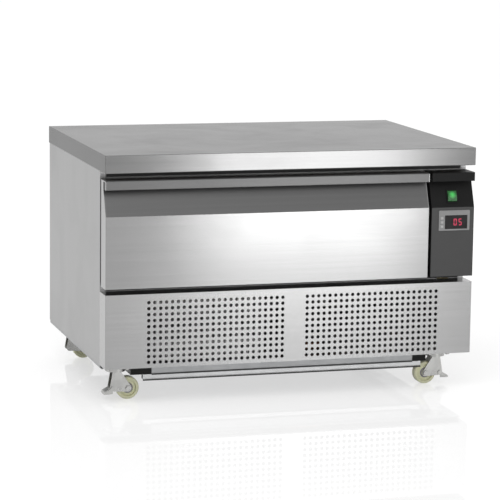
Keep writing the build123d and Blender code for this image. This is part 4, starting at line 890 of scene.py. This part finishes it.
def screwHeads(d, spots, y):
    # a dome on a polar grid, with a cross sunk where either arm is near the middle
    angle = np.arange(24) * 2 * math.pi / 24
    share = np.linspace(0, 1, 9)[1:]
    a = d["head"] * np.outer(np.cos(angle), share)
    b = d["head"] * np.outer(np.sin(angle), share)
    power, drop = d["dome"]
    rise = d["rise"] * np.sqrt(np.clip(1 - (share[None, :] ** power) * drop, 0, 1)) + 0 * a
    nearAxis = np.minimum(np.abs(a), np.abs(b)) < d["cross"] / 2
    inReach = np.maximum(np.abs(a), np.abs(b)) < d["head"] * d["crossReach"]
    rise = np.where(nearAxis & inReach, rise - d["deep"], rise)
    rise[:, -1] = 0.0
    n, m = a.shape
    i, j = np.meshgrid(np.arange(n), np.arange(m - 1), indexing="ij")
    after = (i + 1) % n
    grid = np.stack([i * m + j, after * m + j, after * m + j + 1, i * m + j + 1], -1)
    k = np.arange(n)
    faces = grid.reshape(-1, 4)[:, ::-1].tolist()
    faces += [[n * m, int(((q + 1) % n) * m), int(q * m)] for q in k]
    faces += [(k * m + m - 1).tolist()]
    lots = []
    for x, z in spots:
        points = np.column_stack([(x + a).ravel(), (y + rise).ravel(), (z + b).ravel()])
        lots.append((np.vstack([points, [x, y + d["rise"] - d["deep"], z]]), faces))
    return joined(lots)


low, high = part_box("back_panel")
margin = screws["margin"]
sides, ends = (low.x + margin, high.x - margin), (low.z + margin, high.z - margin)
spots = [(x, z) for z in ends for x in np.linspace(*sides, screws["along"])]
spots += [(x, z) for x in sides for z in np.linspace(*ends, screws["up"])[1:-1]]
newPiece("backScrews", *screwHeads(screws, spots, high.y), "zincPlate", "cabinet")

# wire guard over the evaporator fan's mouth
guard = {
    "rings": (0.018, 0.032, 0.046, 0.058),
    "wire": 0.0011,
    "spokes": 4,
    "spokeReach": (0.017, 0.068),
    "spokeInset": 1.2,
    "off": 0.0015,
}


def wireRing(centre, axis, radius, wire, sides=10):
    angle = np.arange(sides) * 2 * math.pi / sides
    section = np.column_stack([radius + wire * np.cos(angle), wire * np.sin(angle)])
    return turned(section, centre, axis, steps=64)


def rod(start, end, wire, sides=10):
    # a straight wire with flat ends
    axis = Vector(end - start).normalized()
    side = axis.orthogonal().normalized()
    other = axis.cross(side)
    angle = np.arange(sides) * 2 * math.pi / sides
    around = wire * (np.outer(np.cos(angle), side) + np.outer(np.sin(angle), other))
    k = np.arange(sides)
    after = (k + 1) % sides
    faces = np.column_stack([k, after, after + sides, k + sides]).tolist()
    return np.vstack([start + around, end + around]), faces + [k[::-1].tolist(), (k + sides).tolist()]


low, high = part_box("evaporator_fan")
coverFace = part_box("evaporator_cover")[0].x
hubPoint = np.array([coverFace - guard["off"], (low.y + high.y) / 2, (low.z + high.z) / 2])
spokeStart = hubPoint + np.array([guard["wire"] * guard["spokeInset"], 0.0, 0.0])
near, far = guard["spokeReach"]
lots = [wireRing(hubPoint, (1, 0, 0), radius, guard["wire"]) for radius in guard["rings"]]
for i in range(guard["spokes"]):
    angle = (i + 0.5) * 2 * math.pi / guard["spokes"]
    way = np.array([0.0, math.cos(angle), math.sin(angle)])
    lots.append(rod(spokeStart + way * near, spokeStart + way * far, guard["wire"]))
newPiece("evaporatorGuard", *joined(lots), "zincPlate", "cabinet", smooth=True)
print("stage: small pieces made")

# studio
studio = {
    "floorHalf": 30.0,
    "glowNearShaded": 0.63,
    "glowFar": 0.68,
    "glowReach": (1.0, 3.0),
    "floorPaint": 0.80,
    "floorMatte": 0.55,
    "floorMirror": 0.16,
    "mirrorRough": 0.012,
    "worldDiffuse": 0.62,
    "worldGlossHigh": 1.0,
    "worldGlossUp": 0.8,
    "worldFade": (0.15, 0.9),
}


def seenDirectly(tree):
    # 1 for rays from the camera, from gloss and through glass
    path = put(tree, "ShaderNodeLightPath")
    both = calc(tree, "MAXIMUM", path.outputs["Is Camera Ray"], path.outputs["Is Glossy Ray"])
    return calc(tree, "MAXIMUM", both, path.outputs["Is Transmission Ray"]), path


def makeFloor(s):
    mat = bpy.data.materials.new("paleFloor")
    mat.use_nodes = True
    tree = mat.node_tree
    tree.nodes.clear()
    seen, path = seenDirectly(tree)
    paint = put(tree, "ShaderNodeBsdfDiffuse", {"Color": (*grey(s["floorPaint"]), 1)})
    away = put(tree, "ShaderNodeVectorMath", {0: objectPlace(tree)}, operation="LENGTH").outputs["Value"]
    # the floor's glow is weaker within a metre of the machine, rising to full by three metres: painted shade
    # round the machine's foot
    level = spread(tree, away, *s["glowReach"], s["glowNearShaded"], s["glowFar"])
    glow = put(tree, "ShaderNodeEmission", {"Strength": level})
    shine = put(tree, "ShaderNodeBsdfGlossy", {"Color": (1, 1, 1, 1), "Roughness": s["mirrorRough"]})
    matte = put(tree, "ShaderNodeBsdfDiffuse", {"Color": (*grey(s["floorMatte"]), 1)})
    lit = put(tree, "ShaderNodeAddShader", {0: matte.outputs[0], 1: glow.outputs[0]})
    near = put(tree, "ShaderNodeMixShader", {0: s["floorMirror"], 1: lit.outputs[0], 2: shine.outputs[0]})
    both = put(tree, "ShaderNodeMixShader", {0: seen, 1: paint.outputs[0], 2: near.outputs[0]})
    out = tree.nodes.new("ShaderNodeOutputMaterial")
    tree.links.new(both.outputs[0], out.inputs["Surface"])
    h = s["floorHalf"]
    mesh = bpy.data.meshes.new("studioFloor")
    mesh.from_pydata([(-h, -h, 0), (h, -h, 0), (h, h, 0), (-h, h, 0)], [], [(0, 1, 2, 3)])
    floor = bpy.data.objects.new("studioFloor", mesh)
    floor.data.materials.append(mat)
    bpy.context.scene.collection.objects.link(floor)


def makeWorld(s):
    world = bpy.data.worlds.new("studioWorld")
    bpy.context.scene.world = world
    world.use_nodes = True
    tree = world.node_tree
    tree.nodes.clear()
    seen, path = seenDirectly(tree)
    way = put(tree, "ShaderNodeTexCoord").outputs["Generated"]
    up = put(tree, "ShaderNodeSeparateXYZ", {0: way}).outputs["Z"]
    ceiling = spread(tree, up, *s["worldFade"], s["worldGlossHigh"], s["worldGlossUp"])
    bright = calc(tree, "MAXIMUM", ceiling, path.outputs["Is Camera Ray"])
    soft = put(tree, "ShaderNodeBackground", {"Color": (1, 1, 1, 1), "Strength": s["worldDiffuse"]})
    shown = put(tree, "ShaderNodeBackground", {"Color": (1, 1, 1, 1), "Strength": bright})
    both = put(tree, "ShaderNodeMixShader", {0: seen, 1: soft.outputs[0], 2: shown.outputs[0]})
    out = tree.nodes.new("ShaderNodeOutputWorld")
    tree.links.new(both.outputs[0], out.inputs["Surface"])


lamps = {
    "frontBox": {"place": (0.74, -2.5, 0.32), "aim": (0.05, -0.3, 0.36), "size": (0.74, 0.64), "watts": 6.3},
    "overhead": {"place": (-0.9, -1.8, 2.8), "aim": (0, 0, 0.2), "size": (2.2, 1.6), "watts": 26.0},
    "leftFill": {"place": (-3.0, 0.6, 1.3), "aim": (0, 0, 0.3), "size": (1.6, 1.6), "watts": 8.0},
    "backFill": {
        "place": (1.4, 2.8, 1.4),
        "aim": (0, 0, 0.3),
        "size": (1.4, 1.4),
        "watts": 8.0,
        "matte": True,
    },
}


def makeLamp(name, d):
    data = bpy.data.lights.new(name, "AREA")
    data.shape = "RECTANGLE"
    data.size, data.size_y = d["size"]
    data.energy = d["watts"]
    lamp = bpy.data.objects.new(name, data)
    aim = (Vector(d["aim"]) - Vector(d["place"])).to_track_quat("-Z", "Y").to_matrix().to_4x4()
    lamp.matrix_world = Matrix.Translation(d["place"]) @ aim
    lamp.visible_camera = False
    lamp.visible_glossy = not d.get("matte", False)
    bpy.context.scene.collection.objects.link(lamp)


makeFloor(studio)
makeWorld(studio)
for lampName, lampFacts in lamps.items():
    makeLamp(lampName, lampFacts)
bpy.context.scene.view_settings.view_transform = "Standard"
print("stage: studio made")
